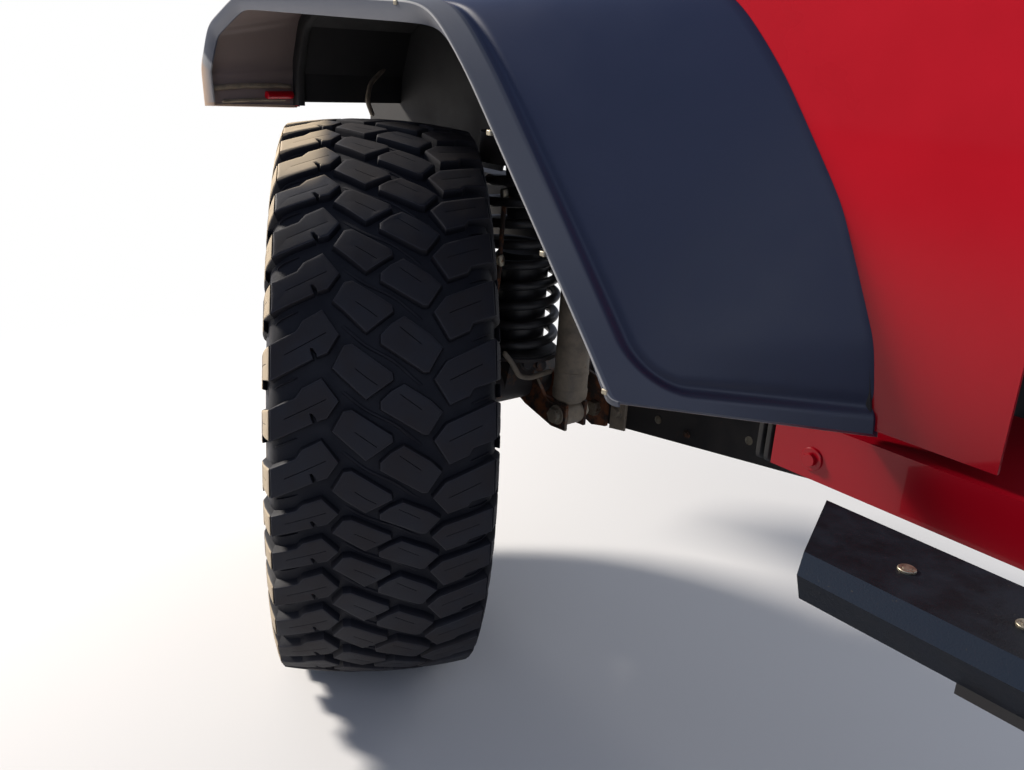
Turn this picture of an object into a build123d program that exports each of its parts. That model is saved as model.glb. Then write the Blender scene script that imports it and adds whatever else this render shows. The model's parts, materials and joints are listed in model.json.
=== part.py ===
from build123d import *
from math import cos, floor, radians, sin, tan
import os

# Front left corner of a lifted off-road 4x4, cut from the vehicle behind the wing.
# Positions are taken (forward of the front axle, outboard of the vehicle's middle, up from the
# axle line) in millimetres; at() turns them into the part's own frame, whose origin is the middle
# of the inner web at the frame rail's rear end.  +X is forward, +Y is outboard, +Z is up.

# ---------------------------------------------------------------- driving dimensions
# wheel and tyre
tyre_radius = 440.0
tyre_width = 300.0
tread_width = 276.0
shoulder_drop = 13.0
tread_depth = 10.0
carcass_wall = 12.0
rim_radius = 218.0
rim_width = 216.0
rim_wall = 6.0
wheel_offset = 115.0
mount_face_inset = 12.0
stud_circle = 127.0
stud_count = 5
stud_radius = 6.35
centre_bore = 71.5

# steering
kingpin_out = 715.0
steer_at_rest = 30.0
joint_reach = 112.0
pin_radius = 11.0
pin_clearance = 0.08
yoke_gap = 6.0

# brake
disc_inset = 67.0
disc_radius = rim_radius - disc_inset
disc_thick = 28.0

# axle
axle_tube_radius = 32.0
axle_tube_wall = 7.0
axle_tube_length = 342.0
yoke_reach = 73.0
axle_yoke_out = kingpin_out - yoke_reach
axle_cut_out = axle_yoke_out - axle_tube_length

# frame rail
rail_width = 60.0
rail_height = 120.0
rail_wall = 6.0
rail_inset = 315.0
rail_inner_out = kingpin_out - rail_inset
rail_outer_out = rail_inner_out + rail_width
rail_rear = -1100.0
rail_front = 620.0
rail_low = 180.0
rail_high = 265.0
rail_nose = 250.0
kick_rear = -520.0
kick_front = -330.0
nose_start = 360.0

# suspension
spring_inset = 149.0
spring_out = kingpin_out - spring_inset
spring_radius = 62.0
spring_wire = 16.0
spring_pitch = 34.0
spring_foot = 62.0
spring_top = 418.0
damper_inset = 42.0
damper_forward = -100.0
damper_out = spring_out - damper_inset
damper_eye_up = -35.0
damper_radius = 29.0
damper_body_low = -6.0
damper_body_high = 200.0
damper_top = 410.0
arm_inset = 104.0
arm_out = damper_out - arm_inset
arm_width = 50.0
arm_axle_forward = -95.0
arm_axle_up = -42.0
arm_axle_radius = 27.0
arm_frame_forward = -655.0
arm_frame_up = 48.0
arm_frame_radius = 40.0
bracket_wall = 6.0
bolt_radius = 8.0

# body and flare
body_past_kingpin = 30.0
body_out = kingpin_out + body_past_kingpin
flare_reach = 190.0
flare_out = body_out + flare_reach
flare_wall = 5.0
flare_step = 5.0
flare_band = 46.0
flare_overlap = 14.0
lip_depth = 26.0
panel_wall = 4.0
liner_wall = 4.0
liner_gap = 9.0
wing_top = 720.0
wing_rear = -900.0
wing_nose = 570.0
wing_depth = 225.0
wing_inner_out = body_out - wing_depth
wing_bend = 34.0
sill_front = -662.0
sill_low = 137.0
sill_high = 200.0
sill_depth = 62.0
step_gap = 75.0
step_width = 130.0
step_front = -781.0
step_inner_out = body_out + step_gap
step_outer_out = step_inner_out + step_width
step_low = 100.0
step_high = 160.0
step_slant = 60.0
step_bevel = 22.0
step_undercut = 45.0

# ---------------------------------------------------------------- frame of reference
web_out = rail_inner_out + rail_wall / 2


def at(forward, outboard, up):
    return Vector(forward - rail_rear, outboard - web_out, up - rail_low)


def side(outboard):
    """Upright fore-and-aft plane: local x is forward, local y is up, extrusions go inboard."""
    return Plane(origin=at(0, outboard, 0), x_dir=(1, 0, 0), z_dir=(0, -1, 0))


def cross(forward):
    """Upright plane across the vehicle: local x is outboard, local y is up."""
    return Plane(origin=at(forward, 0, 0), x_dir=(0, 1, 0), z_dir=(1, 0, 0))


def level(up):
    """Level plane: local x is forward, local y is outboard."""
    return Plane(origin=at(0, 0, up), x_dir=(1, 0, 0), z_dir=(0, 0, 1))


upward = Vector(0, 0, 1)
spin = Vector(sin(radians(steer_at_rest)), cos(radians(steer_at_rest)), 0)
ahead = Vector(cos(radians(steer_at_rest)), -sin(radians(steer_at_rest)), 0)
kingpin = at(0, kingpin_out, 0)
wheel_centre = kingpin + spin * wheel_offset
wheel_axis = Axis(wheel_centre, spin)
# across the wheel: local x is outboard along the axle line, local y is the radius
wheel_section = Plane(origin=wheel_centre, x_dir=spin, z_dir=ahead)


def radial_section(angle):
    """Plane through the axle line, turned by an angle from straight up towards the rear."""
    radius = upward * cos(radians(angle)) - ahead * sin(radians(angle))
    return Plane(origin=wheel_centre, x_dir=spin, z_dir=spin.cross(radius))


def wheel_face(outboard):
    """Plane facing outboard on the wheel's axle line: local x is rearward, local y is up."""
    return Plane(origin=wheel_centre + spin * outboard, x_dir=ahead * -1, z_dir=spin)


def knuckle_level(up):
    """Level plane turned with the steering: local x is forward, local y is outboard."""
    return Plane(origin=kingpin + upward * up, x_dir=ahead, z_dir=(0, 0, 1))


os.makedirs("parts", exist_ok=True)
made = []

# ---------------------------------------------------------------- wheel
half_tread = tread_width / 2
half_tyre = tyre_width / 2
half_rim = rim_width / 2
shoulder_radius = tyre_radius - shoulder_drop
widest_radius = (shoulder_radius + rim_radius) / 2
bead_gap = 0.15
bead_height = 26.0
bead_width = 16.0

crown_slope = 2 * shoulder_drop / half_tread**2
floor_radius = tyre_radius - tread_depth
bead_top = rim_radius + bead_height

# turns of the outer shoulder lugs' points, in degrees up from straight back; the rest of the ring is even
drawn_turns = [61.7, 53.4, 43.9, 33.9, 22.8, 12.9, 3.2, -3.9, -11.0, -19.5, -29.1, -39.3]
even_count = 28
even_step = (360 - drawn_turns[0] + drawn_turns[-1]) / even_count
lug_turns = drawn_turns + [drawn_turns[-1] - even_step * step for step in range(1, even_count)]
lug_count = len(lug_turns)
bead_seat = rim_radius + bead_gap
carcass_sides = 26
carcass_step = 360 / carcass_sides

# carcass section, outboard half: across, radius; the tread's groove floor comes first
carcass_rows = [
    (0, floor_radius),
    (half_tread - 12, shoulder_radius - tread_depth + 1),
    (half_tread, shoulder_radius - 22),
    (half_tyre - 2, shoulder_radius - 62),
    (half_tyre, widest_radius),
    (half_tyre - 10, rim_radius + 57),
    (half_rim + 16, bead_top + 6),
    (half_rim, bead_top - 4),
    (half_rim, bead_seat),
    (half_rim - bead_width, bead_seat),
    (half_rim - bead_width, bead_top),
    (half_tyre - carcass_wall, widest_radius - 10),
    (half_tread - 26, shoulder_radius - tread_depth - carcass_wall),
]
carcass_half = [(-across, radius) for across, radius in reversed(carcass_rows[1:])]
carcass_outline = carcass_rows + carcass_half

# lug outlines for one pitch: name, shift round the tyre, then corners (inboard, round) for a tread 276 wide
drawn_pitch = 81.0
drawn_half = 138.0
point_round = 45.0
lug_rows = [
    ("outer shoulder", 0, [(-138, 4), (-104, 23), (-76, 45), (-56, 13), (-69, -8), (-138, -40)]),
    ("outer middle", -30, [(-63.5, 5.5), (-46, 34), (9.5, -3), (-23, -34)]),
    ("inner middle", 4, [(-5.5, 11), (23, 34), (56, 12), (70.5, -3), (50, -33), (-5.5, 0)]),
    ("inner shoulder", -28, [(59.5, -9), (75, 13), (138, 43), (138, -10), (106, -24), (79, -43)]),
]
flat_drop = 1.3
lug_root = 13.0


def lug_turn(number):
    """Turn of a numbered lug's point; numbers past either end go on round the ring."""
    return lug_turns[number % lug_count] - 360 * (number // lug_count)


def tread_place(around, number):
    """Turn, and degrees in one pitch, at millimetres round the tyre from a pitch's own place."""
    pitches = number - (around - point_round) / drawn_pitch
    before = floor(pitches)
    step = lug_turn(before) - lug_turn(before + 1)
    return lug_turn(before) - step * (pitches - before), step


def outward(turn):
    """Radial direction at a turn up from straight back."""
    return upward * sin(radians(turn)) - ahead * cos(radians(turn))


with BuildPart() as tyre:
    with BuildSketch(radial_section(0)):
        with BuildLine():
            Polyline(*carcass_outline, close=True)
        make_face()
    extrude(amount=tyre_radius * tan(radians(carcass_step)), both=True)
    split(bisect_by=radial_section(-carcass_step / 2), keep=Keep.BOTTOM)
    split(bisect_by=radial_section(carcass_step / 2), keep=Keep.TOP)
    pieces = [tyre.part.rotate(wheel_axis, carcass_step * number) for number in range(1, carcass_sides)]
    for number in range(lug_count):
        for name, shift, corners in lug_rows:
            middle_in = sum(inboard for inboard, around in corners) / len(corners)
            middle_round = sum(around for inboard, around in corners) / len(corners)
            turn, step = tread_place(middle_round + shift, number)
            inboard_middle = middle_in * half_tread / drawn_half
            lean = crown_slope * inboard_middle
            radius = tyre_radius - crown_slope * inboard_middle**2 / 2 - flat_drop
            stretch = radians(step) * tyre_radius / drawn_pitch
            lug_top = Plane(
                origin=wheel_centre - spin * inboard_middle + outward(turn) * radius,
                x_dir=spin * -cos(lean) - outward(turn) * sin(lean),
                z_dir=outward(turn) * cos(lean) - spin * sin(lean),
            )
            outline = [
                ((inboard - middle_in) * half_tread / drawn_half, (around - middle_round) * stretch)
                for inboard, around in corners
            ]
            with BuildSketch(lug_top):
                with BuildLine():
                    Polyline(*outline, close=True)
                make_face()
            pieces.append(extrude(amount=-tread_depth - lug_root, mode=Mode.PRIVATE))
    add(pieces)
tyre.part.label = "tyre"
made.append(tyre.part)

flange_height = 17.0
well_radius = rim_radius - 26.0
disc_plate = 9.0
hat_radius = 88.0
hat_rise = 34.0
window_count = 8
window_radius = 21.0
window_circle = 150.0
rim_hub_face = -mount_face_inset

with BuildPart() as rim:
    with BuildSketch(wheel_section):
        with BuildLine():
            Polyline(
                (-half_rim - 9, rim_radius + flange_height),
                (-half_rim - 1, rim_radius + flange_height),
                (-half_rim - 1, rim_radius),
                (-half_rim + 24, rim_radius),
                (-half_rim + 52, well_radius),
                (half_rim - 66, well_radius),
                (half_rim - 34, rim_radius),
                (half_rim + 1, rim_radius),
                (half_rim + 1, rim_radius + flange_height),
                (half_rim + 9, rim_radius + flange_height),
                (half_rim + 9, rim_radius - rim_wall),
                (half_rim - 30, rim_radius - rim_wall),
                (half_rim - 62, well_radius - rim_wall),
                (-half_rim + 48, well_radius - rim_wall),
                (-half_rim + 20, rim_radius - rim_wall),
                (-half_rim - 9, rim_radius - rim_wall),
                close=True,
            )
        make_face()
    revolve(axis=wheel_axis)
    with BuildSketch(wheel_section):
        with BuildLine():
            Polyline(
                (rim_hub_face, centre_bore / 2),
                (rim_hub_face, hat_radius),
                (rim_hub_face + hat_rise, hat_radius + 14),
                (rim_hub_face + hat_rise, well_radius - rim_wall - 12),
                (rim_hub_face + hat_rise - 16, well_radius - rim_wall + 1),
                (rim_hub_face + hat_rise, well_radius - rim_wall + 1),
                (rim_hub_face + hat_rise + disc_plate, well_radius - rim_wall - 8),
                (rim_hub_face + hat_rise + disc_plate, hat_radius + 8),
                (rim_hub_face + disc_plate, hat_radius - 6),
                (rim_hub_face + disc_plate, centre_bore / 2),
                close=True,
            )
        make_face()
    revolve(axis=wheel_axis)
    with BuildSketch(wheel_face(rim_hub_face - 1)):
        with PolarLocations(stud_circle / 2, stud_count, start_angle=90):
            Circle(stud_radius + 1.0)
        with PolarLocations(window_circle, window_count, start_angle=90):
            Circle(window_radius)
    extrude(amount=hat_rise + disc_plate + 4, mode=Mode.SUBTRACT)
rim.part.label = "rim"
made.append(rim.part)

hub_flange_radius = 76.0
hub_flange_thick = 12.0
hat_plate = 8.0
hub_face = rim_hub_face - hat_plate

with BuildPart() as brake_disc:
    disc_outer_face = hub_face - 26.0
    with BuildSketch(wheel_section):
        with BuildLine():
            Polyline(
                (rim_hub_face, centre_bore / 2 + 1),
                (rim_hub_face, hub_flange_radius + 14),
                (disc_outer_face, hub_flange_radius + 14),
                (disc_outer_face, disc_radius),
                (disc_outer_face - 9, disc_radius),
                (disc_outer_face - 9, hub_flange_radius + 24),
                (disc_outer_face - disc_thick + 9, hub_flange_radius + 24),
                (disc_outer_face - disc_thick + 9, disc_radius),
                (disc_outer_face - disc_thick, disc_radius),
                (disc_outer_face - disc_thick, hub_flange_radius + 6),
                (hub_face, hub_flange_radius + 6),
                (hub_face, centre_bore / 2 + 1),
                close=True,
            )
        make_face()
    revolve(axis=wheel_axis)
    vane_count = 36
    with BuildSketch(wheel_face(disc_outer_face - disc_thick + 8)):
        with PolarLocations((disc_radius + hub_flange_radius + 24) / 2, vane_count):
            Rectangle(disc_radius - hub_flange_radius - 30, 5)
    extrude(amount=disc_thick - 16)
    with BuildSketch(wheel_face(hub_face - 1)):
        with PolarLocations(stud_circle / 2, stud_count, start_angle=90):
            Circle(stud_radius + 0.6)
    extrude(amount=hat_plate + 2, mode=Mode.SUBTRACT)
brake_disc.part.label = "brake_disc"
made.append(brake_disc.part)

bearing_gap = 5.0
spindle_radius = 24.0
nut_length = 20.0
nut_flats = 22.0
stud_end = rim_hub_face + disc_plate + nut_length + 6

with BuildPart() as wheel_hub:
    with BuildSketch(wheel_section):
        with BuildLine():
            Polyline(
                (hub_face - hub_flange_thick, 0),
                (hub_face - hub_flange_thick, hub_flange_radius),
                (hub_face, hub_flange_radius),
                (hub_face, centre_bore / 2 - 0.5),
                (rim_hub_face + disc_plate + 6, centre_bore / 2 - 0.5),
                (rim_hub_face + disc_plate + 6, 0),
                close=True,
            )
        make_face()
    revolve(axis=wheel_axis)
    with BuildSketch(wheel_face(hub_face - 1)):
        with PolarLocations(stud_circle / 2, stud_count, start_angle=90):
            Circle(stud_radius)
    extrude(amount=stud_end - hub_face + 1)
wheel_hub.part.label = "wheel_hub"
made.append(wheel_hub.part)

with BuildPart() as lug_nuts:
    with BuildSketch(wheel_face(rim_hub_face + disc_plate)):
        with PolarLocations(stud_circle / 2, stud_count, start_angle=90):
            RegularPolygon(nut_flats / 2, 6, major_radius=False)
            Circle(stud_radius + 0.05, mode=Mode.SUBTRACT)
    extrude(amount=nut_length)
lug_nuts.part.label = "lug_nuts"
made.append(lug_nuts.part)

with BuildPart() as centre_cap:
    with BuildSketch(wheel_section):
        with BuildLine():
            Polyline(
                (rim_hub_face + disc_plate, centre_bore / 2 + 0.2),
                (rim_hub_face + disc_plate, centre_bore / 2 + 9),
                (rim_hub_face + disc_plate + 5, centre_bore / 2 + 9),
                (rim_hub_face + disc_plate + 12, centre_bore / 2 + 2),
                (rim_hub_face + disc_plate + 30, centre_bore / 2 - 4),
                (rim_hub_face + disc_plate + 34, centre_bore / 2 - 12),
                (rim_hub_face + disc_plate + 34, 0),
                (rim_hub_face + disc_plate + 30, 0),
                (rim_hub_face + disc_plate + 30, centre_bore / 2 - 12),
                (rim_hub_face + disc_plate + 26, centre_bore / 2 - 7),
                (rim_hub_face + disc_plate + 8, centre_bore / 2 + 0.2),
                close=True,
            )
        make_face()
    revolve(axis=wheel_axis)
centre_cap.part.label = "centre_cap"
made.append(centre_cap.part)

valve_length = 42.0
valve_radius = 4.5

with BuildPart() as valve_stem:
    valve_seat = Plane(
        origin=wheel_centre + spin * (half_rim - 15) + upward * (rim_radius - rim_wall - 4),
        x_dir=ahead,
        z_dir=spin * 0.8 - upward * 0.6,
    )
    with BuildSketch(valve_seat):
        Circle(valve_radius)
    extrude(amount=valve_length)
    with BuildSketch(valve_seat.offset(valve_length - 12)):
        Circle(valve_radius + 1)
    extrude(amount=10)
valve_stem.part.label = "valve_stem"
made.append(valve_stem.part)

# ---------------------------------------------------------------- steering knuckle
knuckle_axis_face = -wheel_offset
carrier_radius = 46.0
carrier_outer = hub_face - hub_flange_thick - bearing_gap
tie_rod_forward = 134.0
tie_rod_inset = 54.0
tie_rod_radius = 8.0
tie_rod_boss = 20.0
arm_drop = 76.0
arm_thick = 24.0
arm_half = 13.0
arm_bend = 78.0
boss_radius = 26.0
knuckle_width = 120.0
knuckle_height = 150.0
knuckle_depth = 42.0
knuckle_corner = 30.0
lug_reach = 92.0
lug_height = 70.0
lug_thick = 14.0

with BuildPart() as steering_knuckle:
    with BuildSketch(knuckle_level(-joint_reach)):
        Circle(boss_radius)
    extrude(amount=2 * joint_reach)
    with BuildSketch(wheel_face(knuckle_axis_face - 14)):
        RectangleRounded(knuckle_width, knuckle_height, knuckle_corner)
    extrude(amount=knuckle_depth)
    with BuildSketch(wheel_face(knuckle_axis_face - 24)):
        with Locations((lug_reach / 2 + knuckle_corner, 0)):
            RectangleRounded(lug_reach, lug_height, lug_thick)
    extrude(amount=lug_thick)
    with BuildSketch(knuckle_level(-joint_reach - 1)):
        Circle(pin_radius + pin_clearance)
    extrude(amount=2 * joint_reach + 2, mode=Mode.SUBTRACT)
steering_knuckle.part.label = "steering_knuckle"
made.append(steering_knuckle.part)

with BuildPart() as steering_arm:
    with BuildSketch(knuckle_level(-arm_drop - arm_thick)):
        with Locations((arm_bend / 2, 0)):
            Rectangle(arm_bend, 2 * arm_half)
        Circle(boss_radius, mode=Mode.SUBTRACT)
    extrude(amount=arm_thick)
    with BuildSketch(knuckle_level(-arm_drop - arm_thick)):
        with Locations((arm_bend, 0)):
            Circle(arm_half)
        with Locations((tie_rod_forward, -tie_rod_inset)):
            Circle(tie_rod_boss)
        make_hull()
    extrude(amount=arm_thick)
    with BuildSketch(knuckle_level(-arm_drop - arm_thick - 1)):
        with Locations((tie_rod_forward, -tie_rod_inset)):
            Circle(tie_rod_radius)
    extrude(amount=arm_thick + 2, mode=Mode.SUBTRACT)
steering_arm.part.label = "steering_arm"
made.append(steering_arm.part)

with BuildPart() as hub_carrier:
    with BuildSketch(wheel_face(knuckle_axis_face + 28)):
        Circle(carrier_radius + 20)
    extrude(amount=12)
    with BuildSketch(wheel_face(knuckle_axis_face + 40)):
        Circle(carrier_radius)
    extrude(amount=carrier_outer - knuckle_axis_face - 40)
hub_carrier.part.label = "hub_carrier"
made.append(hub_carrier.part)

disc_middle = hub_face - 26.0 - disc_thick / 2
pad_gap = 5.0
caliper_half = disc_thick / 2 + pad_gap
caliper_top = disc_radius + 28.0
caliper_low = hat_radius + 1.0
pad_low = hat_radius + 17.0
caliper_start = 116.0
caliper_sweep = 52.0

with BuildPart() as brake_caliper:
    with BuildSketch(radial_section(caliper_start)):
        with BuildLine():
            Polyline(
                (disc_middle - caliper_half - 46, caliper_low),
                (disc_middle - caliper_half - 46, disc_radius - 6),
                (disc_middle - caliper_half - 20, caliper_top),
                (disc_middle + caliper_half + 12, caliper_top),
                (disc_middle + caliper_half + 12, pad_low),
                (disc_middle + caliper_half, pad_low),
                (disc_middle + caliper_half, disc_radius + 7),
                (disc_middle - caliper_half, disc_radius + 7),
                (disc_middle - caliper_half, caliper_low),
                close=True,
            )
        make_face()
    revolve(axis=wheel_axis, revolution_arc=caliper_sweep)
brake_caliper.part.label = "brake_caliper"
made.append(brake_caliper.part)

# ---------------------------------------------------------------- axle
pin_reach = joint_reach + yoke_gap
ear_thick = 22.0
ear_radius = 30.0
yoke_half = 34.0
yoke_throat = 62.0
yoke_window = 52.0

with BuildPart() as axle_tube:
    with BuildSketch(Plane(origin=at(0, axle_cut_out, 0), x_dir=(1, 0, 0), z_dir=(0, 1, 0))):
        Circle(axle_tube_radius)
        Circle(axle_tube_radius - axle_tube_wall, mode=Mode.SUBTRACT)
    extrude(amount=axle_yoke_out - axle_cut_out)
axle_tube.part.label = "axle_tube"
made.append(axle_tube.part)

with BuildPart() as axle_yoke:
    with BuildSketch(cross(-yoke_half)):
        with BuildLine():
            Polyline(
                (axle_yoke_out, -axle_tube_radius - 10),
                (kingpin_out - yoke_throat, -pin_reach - ear_thick),
                (kingpin_out + ear_radius, -pin_reach - ear_thick),
                (kingpin_out + ear_radius, -pin_reach),
                (kingpin_out - ear_radius - 8, -pin_reach),
                (kingpin_out - yoke_throat + 10, -yoke_window),
                (kingpin_out - yoke_throat + 10, yoke_window),
                (kingpin_out - ear_radius - 8, pin_reach),
                (kingpin_out + ear_radius, pin_reach),
                (kingpin_out + ear_radius, pin_reach + ear_thick),
                (kingpin_out - yoke_throat, pin_reach + ear_thick),
                (axle_yoke_out, axle_tube_radius + 10),
                close=True,
            )
        make_face()
    extrude(amount=2 * yoke_half)
    with BuildSketch(level(-pin_reach - ear_thick - 1)):
        with Locations((0, kingpin_out + ear_radius / 2)):
            Rectangle(2 * yoke_half + 2, ear_radius + 2)
        with Locations((0, kingpin_out)):
            Circle(ear_radius, mode=Mode.SUBTRACT)
    extrude(amount=2 * (pin_reach + ear_thick + 1), mode=Mode.SUBTRACT)
    with BuildSketch(knuckle_level(-pin_reach - ear_thick - 1)):
        Circle(pin_radius)
    extrude(amount=2 * (pin_reach + ear_thick + 1), mode=Mode.SUBTRACT)
axle_yoke.part.label = "axle_yoke"
made.append(axle_yoke.part)

pin_bite = 34.0
cap_radius = 20.0
cap_height = 8.0

with BuildPart() as ball_joint_pins:
    for direction in (-1, 1):
        pin_start = Plane(
            origin=kingpin + upward * direction * (pin_reach + ear_thick),
            x_dir=(1, 0, 0),
            z_dir=(0, 0, direction),
        )
        with BuildSketch(pin_start):
            Circle(pin_radius)
        extrude(amount=-(ear_thick + yoke_gap + pin_bite))
        with BuildSketch(pin_start):
            Circle(cap_radius)
        extrude(amount=cap_height, taper=15)
ball_joint_pins.part.label = "ball_joint_pins"
made.append(ball_joint_pins.part)

# ---------------------------------------------------------------- frame rail
def rail_side(inset):
    """Side outline of the rail, drawn in from top and bottom by the inset."""
    half = rail_height / 2 - inset
    spine = [
        (rail_rear, rail_low),
        (kick_rear, rail_low),
        (kick_front, rail_high),
        (nose_start, rail_high),
        (rail_front, rail_nose),
    ]
    below = [(forward, up - half) for forward, up in spine]
    above = [(forward, up + half) for forward, up in reversed(spine)]
    return below + above


with BuildPart() as frame_rail:
    with BuildSketch(side(rail_inner_out + rail_width)):
        with BuildLine():
            Polyline(*rail_side(0), close=True)
        make_face()
    extrude(amount=rail_width)
    with BuildSketch(side(rail_inner_out + rail_width - rail_wall)):
        with BuildLine():
            Polyline(*rail_side(rail_wall), close=True)
        make_face()
    extrude(amount=rail_width - 2 * rail_wall, mode=Mode.SUBTRACT)
frame_rail.part.label = "frame_rail"
made.append(frame_rail.part)

flange_size = 150.0
flange_thick = 8.0
flange_bolt_x = 110.0
flange_bolt_y = 110.0
flange_bolt_radius = 6.5
rail_mid_out = rail_inner_out + rail_width / 2

with BuildPart() as bumper_flange:
    with BuildSketch(cross(rail_front)):
        with Locations((rail_mid_out, rail_nose)):
            RectangleRounded(flange_size, flange_size, 10)
            Rectangle(rail_width - 2 * rail_wall - 10, rail_height - 2 * rail_wall - 20, mode=Mode.SUBTRACT)
            with GridLocations(flange_bolt_x, flange_bolt_y, 2, 2):
                Circle(flange_bolt_radius, mode=Mode.SUBTRACT)
    extrude(amount=flange_thick)
bumper_flange.part.label = "bumper_flange"
made.append(bumper_flange.part)

tower_wall = 6.0
tower_radius = 80.0
cup_depth = 40.0
tower_half = 66.0
tower_grip = 50.0
tower_lap = 40.0

with BuildPart() as spring_tower:
    with BuildSketch(level(spring_top)):
        with Locations((0, spring_out)):
            Circle(tower_radius)
    extrude(amount=tower_wall)
    with BuildSketch(level(spring_top - cup_depth)):
        with Locations((0, spring_out)):
            Circle(tower_radius)
            Circle(tower_radius - tower_wall, mode=Mode.SUBTRACT)
    extrude(amount=cup_depth)
    for forward in (-tower_half, tower_half - tower_wall):
        with BuildSketch(cross(forward)):
            with BuildLine():
                Polyline(
                    (rail_outer_out, rail_high - tower_lap),
                    (rail_outer_out, spring_top),
                    (spring_out - tower_grip, spring_top),
                    (spring_out - tower_grip - 8, spring_top - cup_depth),
                    (rail_outer_out + 14, rail_high - tower_lap),
                    close=True,
                )
            make_face()
        extrude(amount=tower_wall)
spring_tower.part.label = "spring_tower"
made.append(spring_tower.part)

perch_radius = spring_radius + spring_wire / 2 + 4
perch_wall = 6.0

with BuildPart() as spring_perch:
    with BuildSketch(level(spring_foot - perch_wall)):
        with Locations((0, spring_out)):
            Circle(perch_radius)
    extrude(amount=perch_wall)
    with BuildSketch(side(spring_out + 47)):
        with BuildLine():
            Polyline(
                (-perch_radius * 0.6, spring_foot - perch_wall),
                (-axle_tube_radius, 0),
                (axle_tube_radius, 0),
                (perch_radius * 0.6, spring_foot - perch_wall),
                close=True,
            )
        make_face()
        Circle(axle_tube_radius, mode=Mode.SUBTRACT)
    extrude(amount=60)
spring_perch.part.label = "spring_perch"
made.append(spring_perch.part)

with BuildPart() as coil_spring:
    with BuildLine():
        turns = Helix(
            pitch=spring_pitch,
            height=spring_top - spring_foot - spring_wire,
            radius=spring_radius,
            center=at(0, spring_out, spring_foot + spring_wire / 2),
        )
    with BuildSketch(Plane(origin=turns @ 0, z_dir=turns % 0)):
        Circle(spring_wire / 2)
    sweep(path=turns, is_frenet=True)
coil_spring.part.label = "coil_spring"
made.append(coil_spring.part)

bump_stop_length = 130.0
bump_stop_radius = 40.0
bump_cup_length = 170.0
bump_cup_radius = 46.0

with BuildPart() as bump_stop:
    with BuildSketch(level(spring_top)):
        with Locations((0, spring_out)):
            Circle(bump_stop_radius)
    extrude(amount=-bump_stop_length, taper=5)
bump_stop.part.label = "bump_stop"
made.append(bump_stop.part)

with BuildPart() as bump_cup:
    with BuildSketch(level(spring_foot)):
        with Locations((0, spring_out)):
            Circle(bump_cup_radius)
    extrude(amount=bump_cup_length)
    chamfer(bump_cup.faces().sort_by(Axis.Z)[-1].edges(), length=bump_cup_radius / 6)
bump_cup.part.label = "bump_cup"
made.append(bump_cup.part)

# ---------------------------------------------------------------- damper
eye_radius = 21.0
eye_width = 36.0
damper_plate_gap = 1.0

with BuildPart() as damper_body:
    with BuildSketch(level(damper_body_low)):
        with Locations((damper_forward, damper_out)):
            Circle(damper_radius)
    extrude(amount=damper_body_high - damper_body_low)
    with BuildSketch(side(damper_out + eye_width / 2)):
        with Locations((damper_forward, damper_eye_up)):
            Circle(eye_radius)
        with Locations((damper_forward, (damper_eye_up + damper_body_low) / 2)):
            Rectangle(22, damper_body_low - damper_eye_up + 6)
    extrude(amount=eye_width)
    with BuildSketch(side(damper_out + eye_width / 2 + 1)):
        with Locations((damper_forward, damper_eye_up)):
            Circle(bolt_radius)
    extrude(amount=eye_width + 2, mode=Mode.SUBTRACT)
damper_body.part.label = "damper_body"
made.append(damper_body.part)

rod_radius = 9.0
tower_top = 10.0

with BuildPart() as damper_rod:
    with BuildSketch(level(damper_body_high)):
        with Locations((damper_forward, damper_out)):
            Circle(rod_radius)
    extrude(amount=damper_top + 30 - damper_body_high)
damper_rod.part.label = "damper_rod"
made.append(damper_rod.part)

with BuildPart() as damper_bracket:
    with BuildSketch(level(damper_top)):
        with BuildLine():
            Polyline(
                (damper_forward - 45, rail_outer_out),
                (damper_forward - 34, damper_out + 34),
                (damper_forward + 18, damper_out + 34),
                (damper_forward + 18, rail_outer_out),
                close=True,
            )
        make_face()
        with Locations((damper_forward, damper_out)):
            Circle(rod_radius + 0.5, mode=Mode.SUBTRACT)
    extrude(amount=tower_wall)
    with BuildSketch(cross(damper_forward - 34)):
        with BuildLine():
            Polyline(
                (rail_outer_out, rail_high - tower_lap),
                (rail_outer_out, damper_top + tower_wall),
                (damper_out + 30, damper_top + tower_wall),
                (damper_out + 30, damper_top - 14),
                (rail_outer_out + 16, rail_high - tower_lap),
                close=True,
            )
        make_face()
    extrude(amount=-tower_wall)
damper_bracket.part.label = "damper_bracket"
made.append(damper_bracket.part)

# ---------------------------------------------------------------- arms and their brackets
arm_wall = 5.0
arm_ends = [(arm_axle_forward, arm_axle_up), (arm_frame_forward, arm_frame_up)]

with BuildPart() as lower_arm:
    with BuildSketch(side(arm_out + arm_width / 2)):
        with Locations(arm_ends[0]):
            Circle(arm_axle_radius)
        with Locations(arm_ends[1]):
            Circle(arm_frame_radius)
        make_hull()
    extrude(amount=arm_width)
    with BuildSketch(side(arm_out + arm_width / 2 - arm_wall)):
        with BuildLine():
            Polyline(
                (arm_axle_forward - 2 * arm_axle_radius, arm_axle_up + arm_axle_radius - 2 * arm_wall),
                (arm_axle_forward - 2 * arm_axle_radius, arm_axle_up - 2 * arm_axle_radius),
                (arm_frame_forward + 2 * arm_frame_radius, arm_frame_up - 2 * arm_frame_radius),
                (arm_frame_forward + 2 * arm_frame_radius, arm_frame_up + arm_frame_radius - 5 * arm_wall),
                close=True,
            )
        make_face()
    extrude(amount=arm_width - 2 * arm_wall, mode=Mode.SUBTRACT)
    with BuildSketch(side(arm_out + arm_width / 2 + 1)):
        with Locations(*arm_ends):
            Circle(bolt_radius)
    extrude(amount=arm_width + 2, mode=Mode.SUBTRACT)
lower_arm.part.label = "lower_arm"
made.append(lower_arm.part)

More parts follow.
